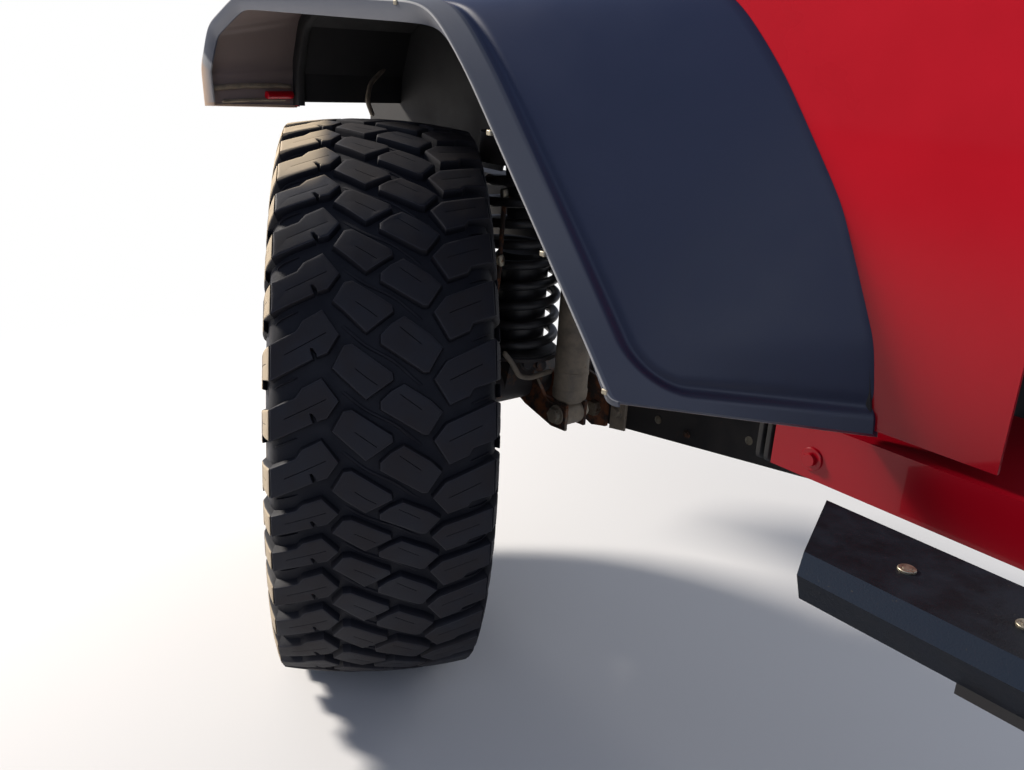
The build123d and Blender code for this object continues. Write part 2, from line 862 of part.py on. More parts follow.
arm_plate_gap = 1.0
arm_plate_out = arm_out + arm_width / 2 + arm_plate_gap

with BuildPart() as axle_bracket:
    for face in (arm_plate_out + bracket_wall, arm_out - arm_width / 2 - arm_plate_gap):
        with BuildSketch(side(face)):
            with BuildLine():
                Polyline(
                    (arm_axle_forward - arm_axle_radius, arm_axle_up - arm_axle_radius),
                    (arm_axle_forward + bolt_radius, arm_axle_up - arm_axle_radius - bolt_radius),
                    (axle_tube_radius / 4, -axle_tube_radius - 14),
                    (axle_tube_radius - 2, 0),
                    (-axle_tube_radius / 2, axle_tube_radius),
                    (arm_axle_forward - bolt_radius, arm_axle_up + 2 * arm_axle_radius),
                    (arm_axle_forward - arm_axle_radius, arm_axle_up + arm_axle_radius),
                    close=True,
                )
            make_face()
            Circle(axle_tube_radius, mode=Mode.SUBTRACT)
            with Locations(arm_ends[0]):
                Circle(bolt_radius, mode=Mode.SUBTRACT)
        extrude(amount=bracket_wall)
axle_bracket.part.label = "axle_bracket"
made.append(axle_bracket.part)

damper_plate = 6.0
damper_near = damper_out - eye_width / 2 - damper_plate_gap
damper_far = damper_out + eye_width / 2 + damper_plate_gap + damper_plate

with BuildPart() as damper_foot:
    for face in (damper_far, damper_near):
        with BuildSketch(side(face)):
            with BuildLine():
                Polyline(
                    (damper_forward - 20, damper_eye_up - 22),
                    (damper_forward + 16, damper_eye_up - 24),
                    (-10, -axle_tube_radius - 8),
                    (axle_tube_radius / 2, -axle_tube_radius + 4),
                    (10, axle_tube_radius - 12),
                    (-axle_tube_radius - 6, axle_tube_radius / 2),
                    (damper_forward + damper_radius + 8, damper_body_low - 6),
                    (damper_forward - 20, damper_body_low - 6),
                    close=True,
                )
            make_face()
            Circle(axle_tube_radius, mode=Mode.SUBTRACT)
            with Locations((damper_forward, damper_eye_up)):
                Circle(bolt_radius, mode=Mode.SUBTRACT)
        extrude(amount=damper_plate)
damper_foot.part.label = "damper_foot"
made.append(damper_foot.part)

bolt_head = 12.0
bolt_flats = 24.0
arm_plate_near = arm_out - arm_width / 2 - arm_plate_gap - bracket_wall
arm_plate_far = arm_plate_out + bracket_wall

# each row: node, places of its bolts (forward, up), inboard and outboard faces that they clamp
bolt_rows = [
    ("damper_bolt", [(damper_forward, damper_eye_up)], damper_near - damper_plate, damper_far),
    ("arm_bolts", arm_ends, arm_plate_near, arm_plate_far),
]

for node, places, near, far in bolt_rows:
    with BuildPart() as bolts:
        with BuildSketch(side(far)):
            with Locations(*places):
                Circle(bolt_radius)
        extrude(amount=far - near)
        for face in (far + bolt_head, near):
            with BuildSketch(side(face)):
                with Locations(*places):
                    RegularPolygon(bolt_flats / 2, 6, major_radius=False)
            extrude(amount=bolt_head)
    bolts.part.label = node
    made.append(bolts.part)

with BuildPart() as frame_bracket:
    for face in (arm_plate_far, arm_plate_near + bracket_wall):
        with BuildSketch(side(face)):
            with BuildLine():
                Polyline(
                    (arm_frame_forward - arm_frame_radius, arm_frame_up - arm_frame_radius / 2),
                    (arm_frame_forward - arm_frame_radius / 2, arm_frame_up - arm_frame_radius),
                    (arm_frame_forward + arm_frame_radius / 2, arm_frame_up - arm_frame_radius),
                    (arm_frame_forward + arm_frame_radius, arm_frame_up - arm_frame_radius / 2),
                    (arm_frame_forward + arm_frame_radius + 22, rail_low - rail_height / 2),
                    (arm_frame_forward - arm_frame_radius - 22, rail_low - rail_height / 2),
                    close=True,
                )
            make_face()
            with Locations(arm_ends[1]):
                Circle(bolt_radius, mode=Mode.SUBTRACT)
        extrude(amount=bracket_wall)
frame_bracket.part.label = "frame_bracket"
made.append(frame_bracket.part)

# ---------------------------------------------------------------- flare
# each row: name, lip forward, lip up, body edge forward, body edge up, band across (1) or lip only (0)
flare_rows = [
    ("rear foot", -588, 222, -780, 212, 1),
    ("rear band", -575, 237, -778, 236, 1),
    ("rear panel", -571, 241, -777, 242, 0),
    ("rear knee", -545, 271, -765, 305, 0),
    ("rear slope", -443, 386, -705, 432, 0),
    ("rear shoulder", -312, 533, -611, 556, 0),
    ("rear crown", -236, 600, -520, 646, 0),
    ("front crown", 280, 610, 340, 652, 0),
    ("front shoulder", 400, 560, 450, 592, 0),
    ("front slope", 436, 492, 478, 510, 0),
    ("front foot", 426, 428, 476, 422, 1),
]


def flare_profile(row):
    """Section of the flare through one row: plane from the body edge to the lip, skin outside."""
    before = flare_rows[max(row - 1, 0)]
    after = flare_rows[min(row + 1, len(flare_rows) - 1)]
    name, lip_forward, lip_up, body_forward, body_up, banded = flare_rows[row]
    lip = at(lip_forward, flare_out, lip_up)
    body = at(body_forward, body_out, body_up)
    along = at(after[1], flare_out, after[2]) - at(before[1], flare_out, before[2])
    width = (lip - body).length
    plane = Plane(origin=body, x_dir=lip - body, z_dir=(lip - body).cross(along.cross(lip - body)))
    sunk = flare_step / 10 if banded else flare_step
    outline = [
        (-flare_overlap, -sunk),
        (width - flare_band, -sunk),
        (width - flare_band + flare_step, 0),
        (width, 0),
        (width, -lip_depth),
        (width - flare_wall, -lip_depth),
        (width - flare_wall, -flare_wall - flare_step),
        (-flare_overlap, -flare_wall - flare_step),
    ]
    return plane, outline


with BuildPart() as flare:
    for row in range(len(flare_rows) - 1):
        for end in (row, row + 1):
            section_plane, outline = flare_profile(end)
            with BuildSketch(section_plane):
                with BuildLine():
                    Polyline(*outline, close=True)
                make_face()
        loft(ruled=True)
    split(bisect_by=Plane(origin=at(0, body_out, 0), z_dir=(0, 1, 0)), keep=Keep.TOP)
flare.part.label = "flare"
made.append(flare.part)

# ---------------------------------------------------------------- wing, liner and inner wing
def arch_line(inset):
    """Body side edge of the flare, drawn towards the wheel by the inset."""
    rows = [row for row in flare_rows if row[0] not in ("rear band", "rear panel", "rear foot", "front foot")]
    return [(row[3] + (inset if row[3] < 0 else -inset), row[4] - inset) for row in rows]


arch_inset = 22.0
arch_points = arch_line(arch_inset)
arch_rear = flare_rows[0][3] + arch_inset
arch_front = flare_rows[-1][3] - arch_inset
wing_low = 215.0
wing_nose_low = 426.0
liner_lap = 6.0

with BuildPart() as wing:
    with BuildSketch(cross(wing_rear)):
        with BuildLine():
            Polyline(
                (body_out, wing_low),
                (body_out, wing_top - wing_bend),
                (body_out - wing_bend, wing_top),
                (wing_inner_out, wing_top),
                (wing_inner_out, wing_top - panel_wall),
                (body_out - wing_bend - panel_wall * 0.4, wing_top - panel_wall),
                (body_out - panel_wall, wing_top - wing_bend - panel_wall * 0.4),
                (body_out - panel_wall, wing_low),
                close=True,
            )
        make_face()
    extrude(amount=wing_nose - wing_rear)
    with BuildSketch(side(body_out + 1)):
        with BuildLine():
            Polyline(
                (arch_rear, wing_low - 1),
                *arch_points,
                (arch_front, wing_nose_low),
                (wing_nose + 1, wing_nose_low),
                (wing_nose + 1, wing_low - 1),
                close=True,
            )
        make_face()
    extrude(amount=panel_wall + 2, mode=Mode.SUBTRACT)
wing.part.label = "wing"
made.append(wing.part)

with BuildPart() as arch_liner:
    liner_out = body_out - panel_wall
    liner_path = [(arch_rear - liner_lap, wing_low + 14), *arch_points, (arch_front + liner_lap, wing_nose_low + 8)]
    inner_path = [
        (arch_rear - liner_lap + liner_wall, wing_low + 14),
        *arch_line(arch_inset + liner_wall),
        (arch_front + liner_lap - liner_wall, wing_nose_low + 8),
    ]
    with BuildSketch(side(liner_out)):
        with BuildLine():
            Polyline(*liner_path, *reversed(inner_path), close=True)
        make_face()
    extrude(amount=liner_out - wing_inner_out)
arch_liner.part.label = "arch_liner"
made.append(arch_liner.part)

inner_wing_clear = 130.0
apron_clear = 20.0
apron_rear = spring_radius + 34
inner_wing_lap = 10.0

with BuildPart() as inner_wing:
    with BuildSketch(side(wing_inner_out)):
        with BuildLine():
            Polyline(
                (wing_rear, wing_top),
                (wing_rear, sill_high),
                (kick_rear - 60, sill_high),
                (kick_rear + 40, rail_high + rail_height / 2 + inner_wing_clear),
                (apron_rear, rail_high + rail_height / 2 + inner_wing_clear),
                (apron_rear + 30, rail_high + rail_height / 2 + apron_clear),
                (nose_start + 60, rail_high + rail_height / 2 + apron_clear),
                (nose_start + 120, rail_high + rail_height / 2 + inner_wing_lap),
                (wing_nose, rail_high + rail_height / 2 + inner_wing_lap),
                (wing_nose, wing_top),
                close=True,
            )
        make_face()
    extrude(amount=panel_wall)
inner_wing.part.label = "inner_wing"
made.append(inner_wing.part)

# ---------------------------------------------------------------- sill, body mount and step
sill_wall = 4.0

with BuildPart() as sill:
    with BuildSketch(cross(rail_rear)):
        with Locations((body_out - sill_depth / 2, (sill_low + sill_high) / 2)):
            Rectangle(sill_depth, sill_high - sill_low)
            Rectangle(sill_depth - 2 * sill_wall, sill_high - sill_low - 2 * sill_wall, mode=Mode.SUBTRACT)
    extrude(amount=sill_front - rail_rear)
sill.part.label = "sill"
made.append(sill.part)

puck_height = 34.0
puck_radius = 36.0
puck_forward = -860.0
puck_inset = 125.0
puck_out = body_out - puck_inset
outrigger_height = 60.0
outrigger_width = 90.0
outrigger_top = sill_low + 5
floor_bar_height = 24.0

with BuildPart() as body_outrigger:
    with BuildSketch(cross(puck_forward - outrigger_width / 2)):
        with BuildLine():
            Polyline(
                (rail_outer_out, rail_low - rail_height / 2 + 4),
                (puck_out + puck_radius, outrigger_top - 26),
                (puck_out + puck_radius, outrigger_top),
                (rail_outer_out, outrigger_top),
                close=True,
            )
        make_face()
    extrude(amount=outrigger_width)
body_outrigger.part.label = "body_outrigger"
made.append(body_outrigger.part)

with BuildPart() as body_puck:
    with BuildSketch(level(outrigger_top)):
        with Locations((puck_forward, puck_out)):
            Circle(puck_radius)
    extrude(amount=puck_height)
body_puck.part.label = "body_puck"
made.append(body_puck.part)

with BuildPart() as floor_bar:
    with BuildSketch(level(outrigger_top + puck_height)):
        with Locations((puck_forward, (wing_inner_out - panel_wall + body_out - sill_depth) / 2)):
            Rectangle(outrigger_width, body_out - sill_depth - wing_inner_out + panel_wall)
    extrude(amount=floor_bar_height)
floor_bar.part.label = "floor_bar"
made.append(floor_bar.part)

with BuildPart() as side_step:
    with BuildSketch(cross(rail_rear)):
        with BuildLine():
            Polyline(
                (step_inner_out, step_low + step_bevel / 4),
                (step_inner_out, step_high),
                (step_outer_out - step_bevel, step_high),
                (step_outer_out, step_high - step_bevel / 2),
                (step_outer_out - step_undercut, step_low),
                (step_inner_out + step_undercut / 2, step_low),
                close=True,
            )
        make_face()
    extrude(amount=step_front - rail_rear)
    with BuildSketch(level(step_low - 1)):
        with BuildLine():
            Polyline(
                (step_front, step_inner_out),
                (step_front - step_slant, step_outer_out),
                (step_front - step_slant, step_outer_out + 1),
                (step_front + 1, step_outer_out + 1),
                (step_front + 1, step_inner_out),
                close=True,
            )
        make_face()
    extrude(amount=step_high - step_low + 2, mode=Mode.SUBTRACT)
side_step.part.label = "side_step"
made.append(side_step.part)

step_bracket_wall = 10.0
step_bracket_bend = 30.0
step_bracket_forward = -1000.0
step_bracket_width = 60.0

with BuildPart() as step_bracket:
    with BuildSketch(cross(step_bracket_forward - step_bracket_width / 2)):
        with BuildLine():
            Polyline(
                (rail_outer_out, rail_low - rail_height / 2 + 2),
                (rail_outer_out, rail_low - rail_height / 2 + 42),
                (rail_outer_out + 20, rail_low - rail_height / 2 + 12),
                (step_inner_out - step_bracket_bend, step_low - 4),
                (step_outer_out - step_undercut, step_low),
                (step_outer_out - step_undercut, step_low - step_bracket_wall),
                (step_inner_out - step_bracket_bend, step_low - 4 - step_bracket_wall),
                close=True,
            )
        make_face()
    extrude(amount=step_bracket_width)
step_bracket.part.label = "step_bracket"
made.append(step_bracket.part)

for shape in made:
    export_step(shape, f"parts/{shape.label}.step")
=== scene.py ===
import bmesh
import bpy
import json
import numpy as np
from mathutils import Matrix, Vector


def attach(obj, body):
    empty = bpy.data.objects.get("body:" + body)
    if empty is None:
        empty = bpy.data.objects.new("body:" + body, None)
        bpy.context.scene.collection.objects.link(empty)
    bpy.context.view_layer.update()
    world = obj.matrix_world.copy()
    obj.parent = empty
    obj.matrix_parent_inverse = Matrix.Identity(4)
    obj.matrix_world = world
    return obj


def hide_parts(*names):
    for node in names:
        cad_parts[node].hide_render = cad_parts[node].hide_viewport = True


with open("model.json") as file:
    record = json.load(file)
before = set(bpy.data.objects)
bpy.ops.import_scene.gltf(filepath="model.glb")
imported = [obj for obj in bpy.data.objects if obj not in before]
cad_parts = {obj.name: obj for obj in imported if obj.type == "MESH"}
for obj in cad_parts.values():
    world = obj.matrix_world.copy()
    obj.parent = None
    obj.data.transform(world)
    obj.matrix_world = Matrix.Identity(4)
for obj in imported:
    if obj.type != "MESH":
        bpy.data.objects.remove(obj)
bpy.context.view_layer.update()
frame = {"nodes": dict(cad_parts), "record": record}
cadNodes = frame["nodes"]
print("frame loaded")

# places are millimetres: forward of the front axle, outboard of the vehicle's middle, up from the axle line
vehicle = {
    "railEnd": (-1100.0, 403.0, 180.0),  # the part's own origin
    "kingpin": (0.0, 715.0, 0.0),
    "offset": 115.0,  # from the kingpin along the axle line to the tyre's middle
    "steer": 30.0,  # degrees that the wheel points to the right
}
upward = np.array([0.0, 0.0, 1.0])
steer = np.radians(vehicle["steer"])
spin = np.array([np.sin(steer), np.cos(steer), 0.0])  # outboard along the axle line
ahead = np.array([np.cos(steer), -np.sin(steer), 0.0])
wheelCentre = np.array(vehicle["kingpin"]) + vehicle["offset"] * spin


def toRow(points):
    # vehicle millimetres to the row frame's metres
    return (np.asarray(points, float) - vehicle["railEnd"]) / 1000


def onWheel(across, radius, turn):
    # a point at a radius round the axle line, turned up from straight back, and across to the outboard side
    across, radius, turn = np.broadcast_arrays(across, radius, turn)
    out = -np.cos(turn)[..., None] * ahead + np.sin(turn)[..., None] * upward
    return wheelCentre + across[..., None] * spin + radius[..., None] * out


def smooth(value, low, high):
    # 0 at low, 1 at high, an S between; low may be the larger one
    t = np.clip((value - low) / (high - low), 0, 1)
    return t * t * (3 - 2 * t)


def gridQuads(rows, cols, closeRows, closeCols, copies=1):
    # each quad joins a point to its neighbours along the row and the column, for every copy of the grid
    i = np.arange(rows if closeRows else rows - 1)[:, None]
    j = np.arange(cols if closeCols else cols - 1)[None, :]
    iNext, jNext = (i + 1) % rows, (j + 1) % cols
    corners = (i * cols + j, iNext * cols + j, iNext * cols + jNext, i * cols + jNext)
    quads = np.stack(np.broadcast_arrays(*corners), -1).reshape(-1, 4)
    return (quads[None] + (np.arange(copies) * rows * cols)[:, None, None]).reshape(-1, 4)


def endQuads(cols, start, flip):
    # closes the end of a swept section by joining each point to the one opposite it
    i = np.arange(cols // 2 - 1)
    quads = start + np.stack([i, i + 1, cols - 2 - i, cols - 1 - i], -1)
    return quads[:, ::-1] if flip else quads


def meshPiece(name, points, quads, body, slot, tone=None, outward=None, sharp=34):
    # points in vehicle millimetres; outward gives the way that each face should look from its centre
    flat = np.asarray(points, float).reshape(-1, 3)
    if outward is not None:
        a, b, c, d = (flat[quads[:, k]] for k in range(4))
        normals = np.cross(c - a, d - b)
        if (normals * outward((a + b + c + d) / 4)).sum() < 0:
            quads = quads[:, ::-1]
    mesh = bpy.data.meshes.new(name)
    mesh.vertices.add(len(flat))
    mesh.vertices.foreach_set("co", toRow(flat).astype(np.float32).ravel())
    mesh.loops.add(quads.size)
    mesh.loops.foreach_set("vertex_index", np.ascontiguousarray(quads, np.int32).ravel())
    mesh.polygons.add(len(quads))
    mesh.polygons.foreach_set("loop_start", np.arange(0, quads.size, 4, dtype=np.int32))
    if tone is not None:
        layer = mesh.attributes.new("tone", "FLOAT", "POINT")
        layer.data.foreach_set("value", np.asarray(tone, np.float32).ravel())
    mesh.update(calc_edges=True)
    edit = bmesh.new()
    edit.from_mesh(mesh)
    bmesh.ops.remove_doubles(edit, verts=edit.verts, dist=2e-6)
    bmesh.ops.dissolve_degenerate(edit, edges=edit.edges, dist=1e-7)
    if outward is None:
        bmesh.ops.recalc_face_normals(edit, faces=edit.faces)
    edit.to_mesh(mesh)
    edit.free()
    mesh.shade_smooth()
    mesh.set_sharp_from_angle(angle=np.radians(sharp))
    mesh.materials.append(finishes[slot])
    piece = bpy.data.objects.new(name, mesh)
    bpy.context.scene.collection.objects.link(piece)
    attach(piece, body)
    return piece


def sweptPiece(name, grid, body, slot, ring=False, **more):
    # grid: one closed section per row; the rows close into a ring, or the two ends are capped
    rows, cols = grid.shape[:2]
    quads = gridQuads(rows, cols, ring, True)
    if not ring:
        quads = np.concatenate([quads, endQuads(cols, 0, False), endQuads(cols, (rows - 1) * cols, True)])
    return meshPiece(name, grid, quads, body, slot, **more)


def rounded(line, reach, spread):
    # a bell-weighted mean along a line, its width counted in points; the ends are mirrored, so they stay put
    weight = np.exp(-0.5 * (np.arange(-reach, reach + 1) / spread) ** 2)
    weight /= weight.sum()
    before = 2 * line[0] - line[reach:0:-1]
    after = 2 * line[-1] - line[-2 : -reach - 2 : -1]
    padded = np.concatenate([before, line, after])
    return np.stack([np.convolve(padded[:, k], weight, "valid") for k in range(line.shape[1])], -1)


def along(points, count, soften=0.0):
    # an even run of points on a polyline, its corners rounded over about soften millimetres
    points = np.asarray(points, float)
    length = np.concatenate([[0], np.cumsum(np.linalg.norm(np.diff(points, axis=0), axis=1))])
    place = np.linspace(0, length[-1], count)
    line = np.stack([np.interp(place, length, points[:, k]) for k in range(points.shape[1])], -1)
    if soften:
        spread = soften * (count - 1) / length[-1]
        line = rounded(line, max(1, int(3 * spread)), spread)
    return line


def evenOutline(corners, count):
    # spreads points along a closed outline so that every corner keeps one
    corners = np.asarray(corners, float)
    x, y = corners.T
    area = np.sum(x * np.roll(y, -1) - np.roll(x, -1) * y)
    corners = corners if area > 0 else corners[::-1]
    ends = np.roll(corners, -1, axis=0)
    sides = np.linalg.norm(ends - corners, axis=1)
    share = np.maximum(1, np.floor(sides / sides.sum() * (count - len(corners)))).astype(int)
    while share.sum() < count:
        share[np.argmax(sides / share)] += 1
    parts = [np.linspace(0, 1, n, endpoint=False)[:, None] for n in share]
    return np.concatenate([a + (b - a) * part for a, b, part in zip(corners, ends, parts)])


def outwardOf(outline):
    # unit ways square to a closed outline, out of it
    tangent = np.roll(outline, -1, axis=0) - np.roll(outline, 1, axis=0)
    return np.stack([tangent[:, 1], -tangent[:, 0]], -1) / np.linalg.norm(tangent, axis=1)[:, None]


def nearestOn(line, points):
    # the nearest point of a polyline to each point
    line = np.asarray(line, float)
    a, b = line[:-1][None], line[1:][None]
    t = np.clip(((points[:, None] - a) * (b - a)).sum(-1) / ((b - a) ** 2).sum(-1), 0, 1)
    spots = a + t[..., None] * (b - a)
    best = np.linalg.norm(points[:, None] - spots, axis=-1).argmin(1)
    return spots[np.arange(len(points)), best]


def signedPower(value, power):
    # the size of the value raised to a power, with its sign kept
    return np.sign(value) * np.abs(value) ** power


def turned(name, rows, spots, axis, body, slot, around=30):
    # a profile turned about an axis at each spot; rows are distance along the axis, radius and flats,
    # where 0 flats is round and a flat's radius is across its corners
    axis = np.asarray(axis, float) / np.linalg.norm(axis)
    helper = upward if abs(axis[2]) < 0.9 else np.array([1.0, 0, 0])
    aside = np.cross(helper, axis)
    aside /= np.linalg.norm(aside)
    over = np.cross(axis, aside)
    angle = np.linspace(0, 2 * np.pi, around, endpoint=False)
    reach, radius, flats = (np.array([row[k] for row in rows], float)[:, None] for k in range(3))
    half = np.pi / np.where(flats > 0, flats, 1)
    radius = radius * np.where(flats > 0, np.cos(half) / np.cos((angle[None] + half) % (2 * half) - half), 1.0)
    ring = np.cos(angle)[None, :, None] * aside + np.sin(angle)[None, :, None] * over
    grid = reach[..., None] * axis + radius[..., None] * ring
    grid = np.asarray(spots, float).reshape(-1, 1, 1, 3) + grid[None]
    rising = np.diff(reach[:, 0], prepend=reach[0, 0]) > 0
    tone = np.broadcast_to(np.where(rising, 0.5, 0.8)[None, :, None], grid.shape[:3])
    return meshPiece(name, grid, gridQuads(len(rows), around, False, True, len(grid)), body, slot, tone)


def boltRows(head, tall, washer):
    # a hexagon head with a rounded top, standing on a washer
    foot = [(-2, 0, 0), (-2, washer, 0), (1.6, washer, 0), (2.2, washer - 0.6, 0)]
    return foot + [(2.2, head, 6), (tall - 1.5, head, 6), (tall, head * 0.84, 0), (tall, 0, 0)]


def plugRows(radius, crest, dish):
    # a round plug: a flange, a raised crest and a dished middle
    return [(-1, 0, 0), (-1, radius, 0), (1.4, radius, 0), (2.2, crest, 0), (0.6, dish, 0), (0.6, 0, 0)]


def tube(name, path, radius, body, slot, soften=8.0, count=60, around=14):
    # a round section carried along a rounded path, its ends closed to a point
    line = along(path, count, soften)
    way = np.gradient(line, axis=0)
    way /= np.linalg.norm(way, axis=1)[:, None]
    aside = np.cross(way, np.array([0.31, 0.17, 0.93]))  # a slant that no path here follows
    aside /= np.linalg.norm(aside, axis=1)[:, None]
    over = np.cross(way, aside)
    angle = np.linspace(0, 2 * np.pi, around, endpoint=False)
    fromEnd = np.minimum(np.arange(count), np.arange(count)[::-1])
    thick = radius * np.sqrt(np.clip(fromEnd / 2.0, 0, 1))[:, None, None]
    ring = np.cos(angle)[None, :, None] * aside[:, None] + np.sin(angle)[None, :, None] * over[:, None]
    grid = line[:, None] + thick * ring
    quads = gridQuads(count, around, False, True)
    return meshPiece(name, grid, quads, body, slot, np.full(grid.shape[:2], 0.5))


def plate(name, outline, spine, low, high, body, slot, bevel=1.2, count=60):
    # an upright plate, its edges bevelled: out from its spine on one face, round the edge, back on the other;
    # the outline is forward and up, low and high are outboard
    edge = evenOutline(outline, count)
    inner = edge - outwardOf(edge) * bevel
    middle = nearestOn(spine, edge)
    rings = [(middle, low, 0.4), (inner, low, 0.5), (edge, low + bevel, 1.0),
             (edge, high - bevel, 1.0), (inner, high, 0.5), (middle, high, 0.4)]
    grid = np.stack([np.insert(ring, 1, level, axis=1) for ring, level, tone in rings])
    tone = np.broadcast_to(np.array([tone for ring, level, tone in rings])[:, None], grid.shape[:2])
    return meshPiece(name, grid, gridQuads(len(rings), count, False, True), body, slot, tone)


def block(name, spots, halves, body, slot, power=0.35, around=16):
    # rounded blocks: a superellipsoid, whose cosines and sines are raised to a small power
    u = np.linspace(-np.pi / 2, np.pi / 2, around)[:, None]
    v = np.linspace(-np.pi, np.pi, 2 * around, endpoint=False)[None]
    cosU, sinU = signedPower(np.cos(u), power), signedPower(np.sin(u), power)
    cosV, sinV = signedPower(np.cos(v), power), signedPower(np.sin(v), power)
    shape = np.stack(np.broadcast_arrays(cosU * cosV, cosU * sinV, sinU), -1)
    grid = np.asarray(spots, float).reshape(-1, 1, 1, 3) + shape[None] * np.asarray(halves, float)
    quads = gridQuads(around, 2 * around, False, True, len(grid))
    return meshPiece(name, grid, quads, body, slot, np.full(grid.shape[:3], 0.5))


def linear(hexColour):
    # sRGB hex to linear light
    srgb = np.array([int(hexColour[k : k + 2], 16) / 255 for k in (1, 3, 5)])
    light = np.where(srgb <= 0.04045, srgb / 12.92, ((srgb + 0.055) / 1.055) ** 2.4)
    return (*light, 1.0)


def add(tree, kind, inputs=None, **settings):
    # a node of that kind, with its settings, and its inputs set or linked
    made = tree.nodes.new("ShaderNode" + kind)
    for key, value in settings.items():
        setattr(made, key, value)
    for key, value in (inputs or {}).items():
        if isinstance(value, bpy.types.NodeSocket):
            tree.links.new(value, made.inputs[key])
        else:
            made.inputs[key].default_value = value
    return made


def finish(name, look):
    # two base colours wander in clouds, the other colours are laid over them, and fine grain gives the bump
    material = bpy.data.materials.new(name)
    material.use_nodes = True
    tree = material.node_tree
    shader = tree.nodes["Principled BSDF"]
    place = add(tree, "TexCoord").outputs["Object"]
    cloud = add(tree, "TexNoise", {
        "Vector": place, "Scale": 1000 / look["patch"], "Detail": 5.0, "Roughness": 0.62}).outputs["Fac"]
    fine = add(tree, "TexNoise", {
        "Vector": place, "Scale": 1000 / look["grain"], "Detail": 3.0, "Roughness": 0.6}).outputs["Fac"]
    ramp = add(tree, "ValToRGB", {"Fac": cloud})
    first, last = ramp.color_ramp.elements
    first.position, last.position = 0.36, 0.66
    first.color, last.color = linear(look["dark"]), linear(look["light"])
    if "slope" in look or "dust" in look:  # how far a face looks up
        normal = add(tree, "NewGeometry").outputs["Normal"]
        facing = add(tree, "SeparateXYZ", {"Vector": normal}).outputs["Z"]
    layers = []  # colours to lay on, each with its amount
    # painted light: the flare grows bluer higher up with painted sky light, the body red darker low down with
    # painted shade
    if "fade" in look:  # grows between two heights in metres
        hexColour, low, high = look["fade"]
        height = add(tree, "SeparateXYZ", {"Vector": place}).outputs["Z"]
        part = add(tree, "MapRange", {"Value": height, "From Min": low, "From Max": high})
        layers.append((hexColour, part.outputs["Result"]))
    for hexColour, low, high in look.get("tones", []):  # the piece's own tone: worn edges and dust, and painted light: shade in the tyre's hollows, sunlight outboard, light on the flare's band, lip and inside
        tone = add(tree, "Attribute", attribute_name="tone").outputs["Fac"]
        part = add(tree, "MapRange", {"Value": tone, "From Min": low, "From Max": high},
                   interpolation_type="SMOOTHSTEP")
        layers.append((hexColour, part.outputs["Result"]))
    if "slope" in look:  # painted sky highlight where a face slopes up, and neither on level nor on upright faces
        part = add(tree, "Math", {0: facing, 1: 0.6, 2: 0.3}, operation="COMPARE")
        layers.append((look["slope"], part.outputs["Value"]))
    if "spots" in look:  # rust, chips or scuffs of that size, where a second noise is high
        hexColour, size, low, high = look["spots"]
        patch = add(tree, "TexNoise", {"Vector": place, "Scale": 1000 / size, "Detail": 8.0, "Roughness": 0.7})
        part = add(tree, "MapRange", {"Value": patch.outputs["Fac"], "From Min": low, "From Max": high})
        layers.append((hexColour, part.outputs["Result"]))
    if "dust" in look:  # lies on faces that look up, thicker in some clouds
        hexColour, amount = look["dust"]
        lying = add(tree, "MapRange", {"Value": facing, "From Min": -0.5, "From Max": 1.0, "To Max": amount})
        speck = add(tree, "MapRange", {"Value": cloud, "From Min": 0.3, "From Max": 0.7})
        part = add(tree, "Math", {0: lying.outputs["Result"], 1: speck.outputs["Result"]}, operation="MULTIPLY")
        layers.append((hexColour, part.outputs["Value"]))
    colour = ramp.outputs["Color"]
    for hexColour, amount in layers:  # 6, 7 and 2 are the mix node's colour sockets
        mix = add(tree, "Mix", {"Factor": amount, 6: colour, 7: linear(hexColour)}, data_type="RGBA")
        colour = mix.outputs[2]
    low, high = look["rough"]
    rough = add(tree, "MapRange", {
        "Value": cloud, "From Min": 0.3, "From Max": 0.7, "To Min": low, "To Max": high})
    bump = add(tree, "Bump", {"Height": fine, "Strength": 1.0, "Distance": look["height"] / 1000})
    tree.links.new(colour, shader.inputs["Base Color"])
    tree.links.new(rough.outputs["Result"], shader.inputs["Roughness"])
    tree.links.new(bump.outputs["Normal"], shader.inputs["Normal"])
    shader.inputs["Metallic"].default_value = look.get("metal", 0.0)
    shader.inputs["Coat Weight"].default_value = look.get("coat", 0.0)
    shader.inputs["Coat Roughness"].default_value = 0.06
    shader.inputs["Specular IOR Level"].default_value = look.get("gloss", 0.5)
    return material


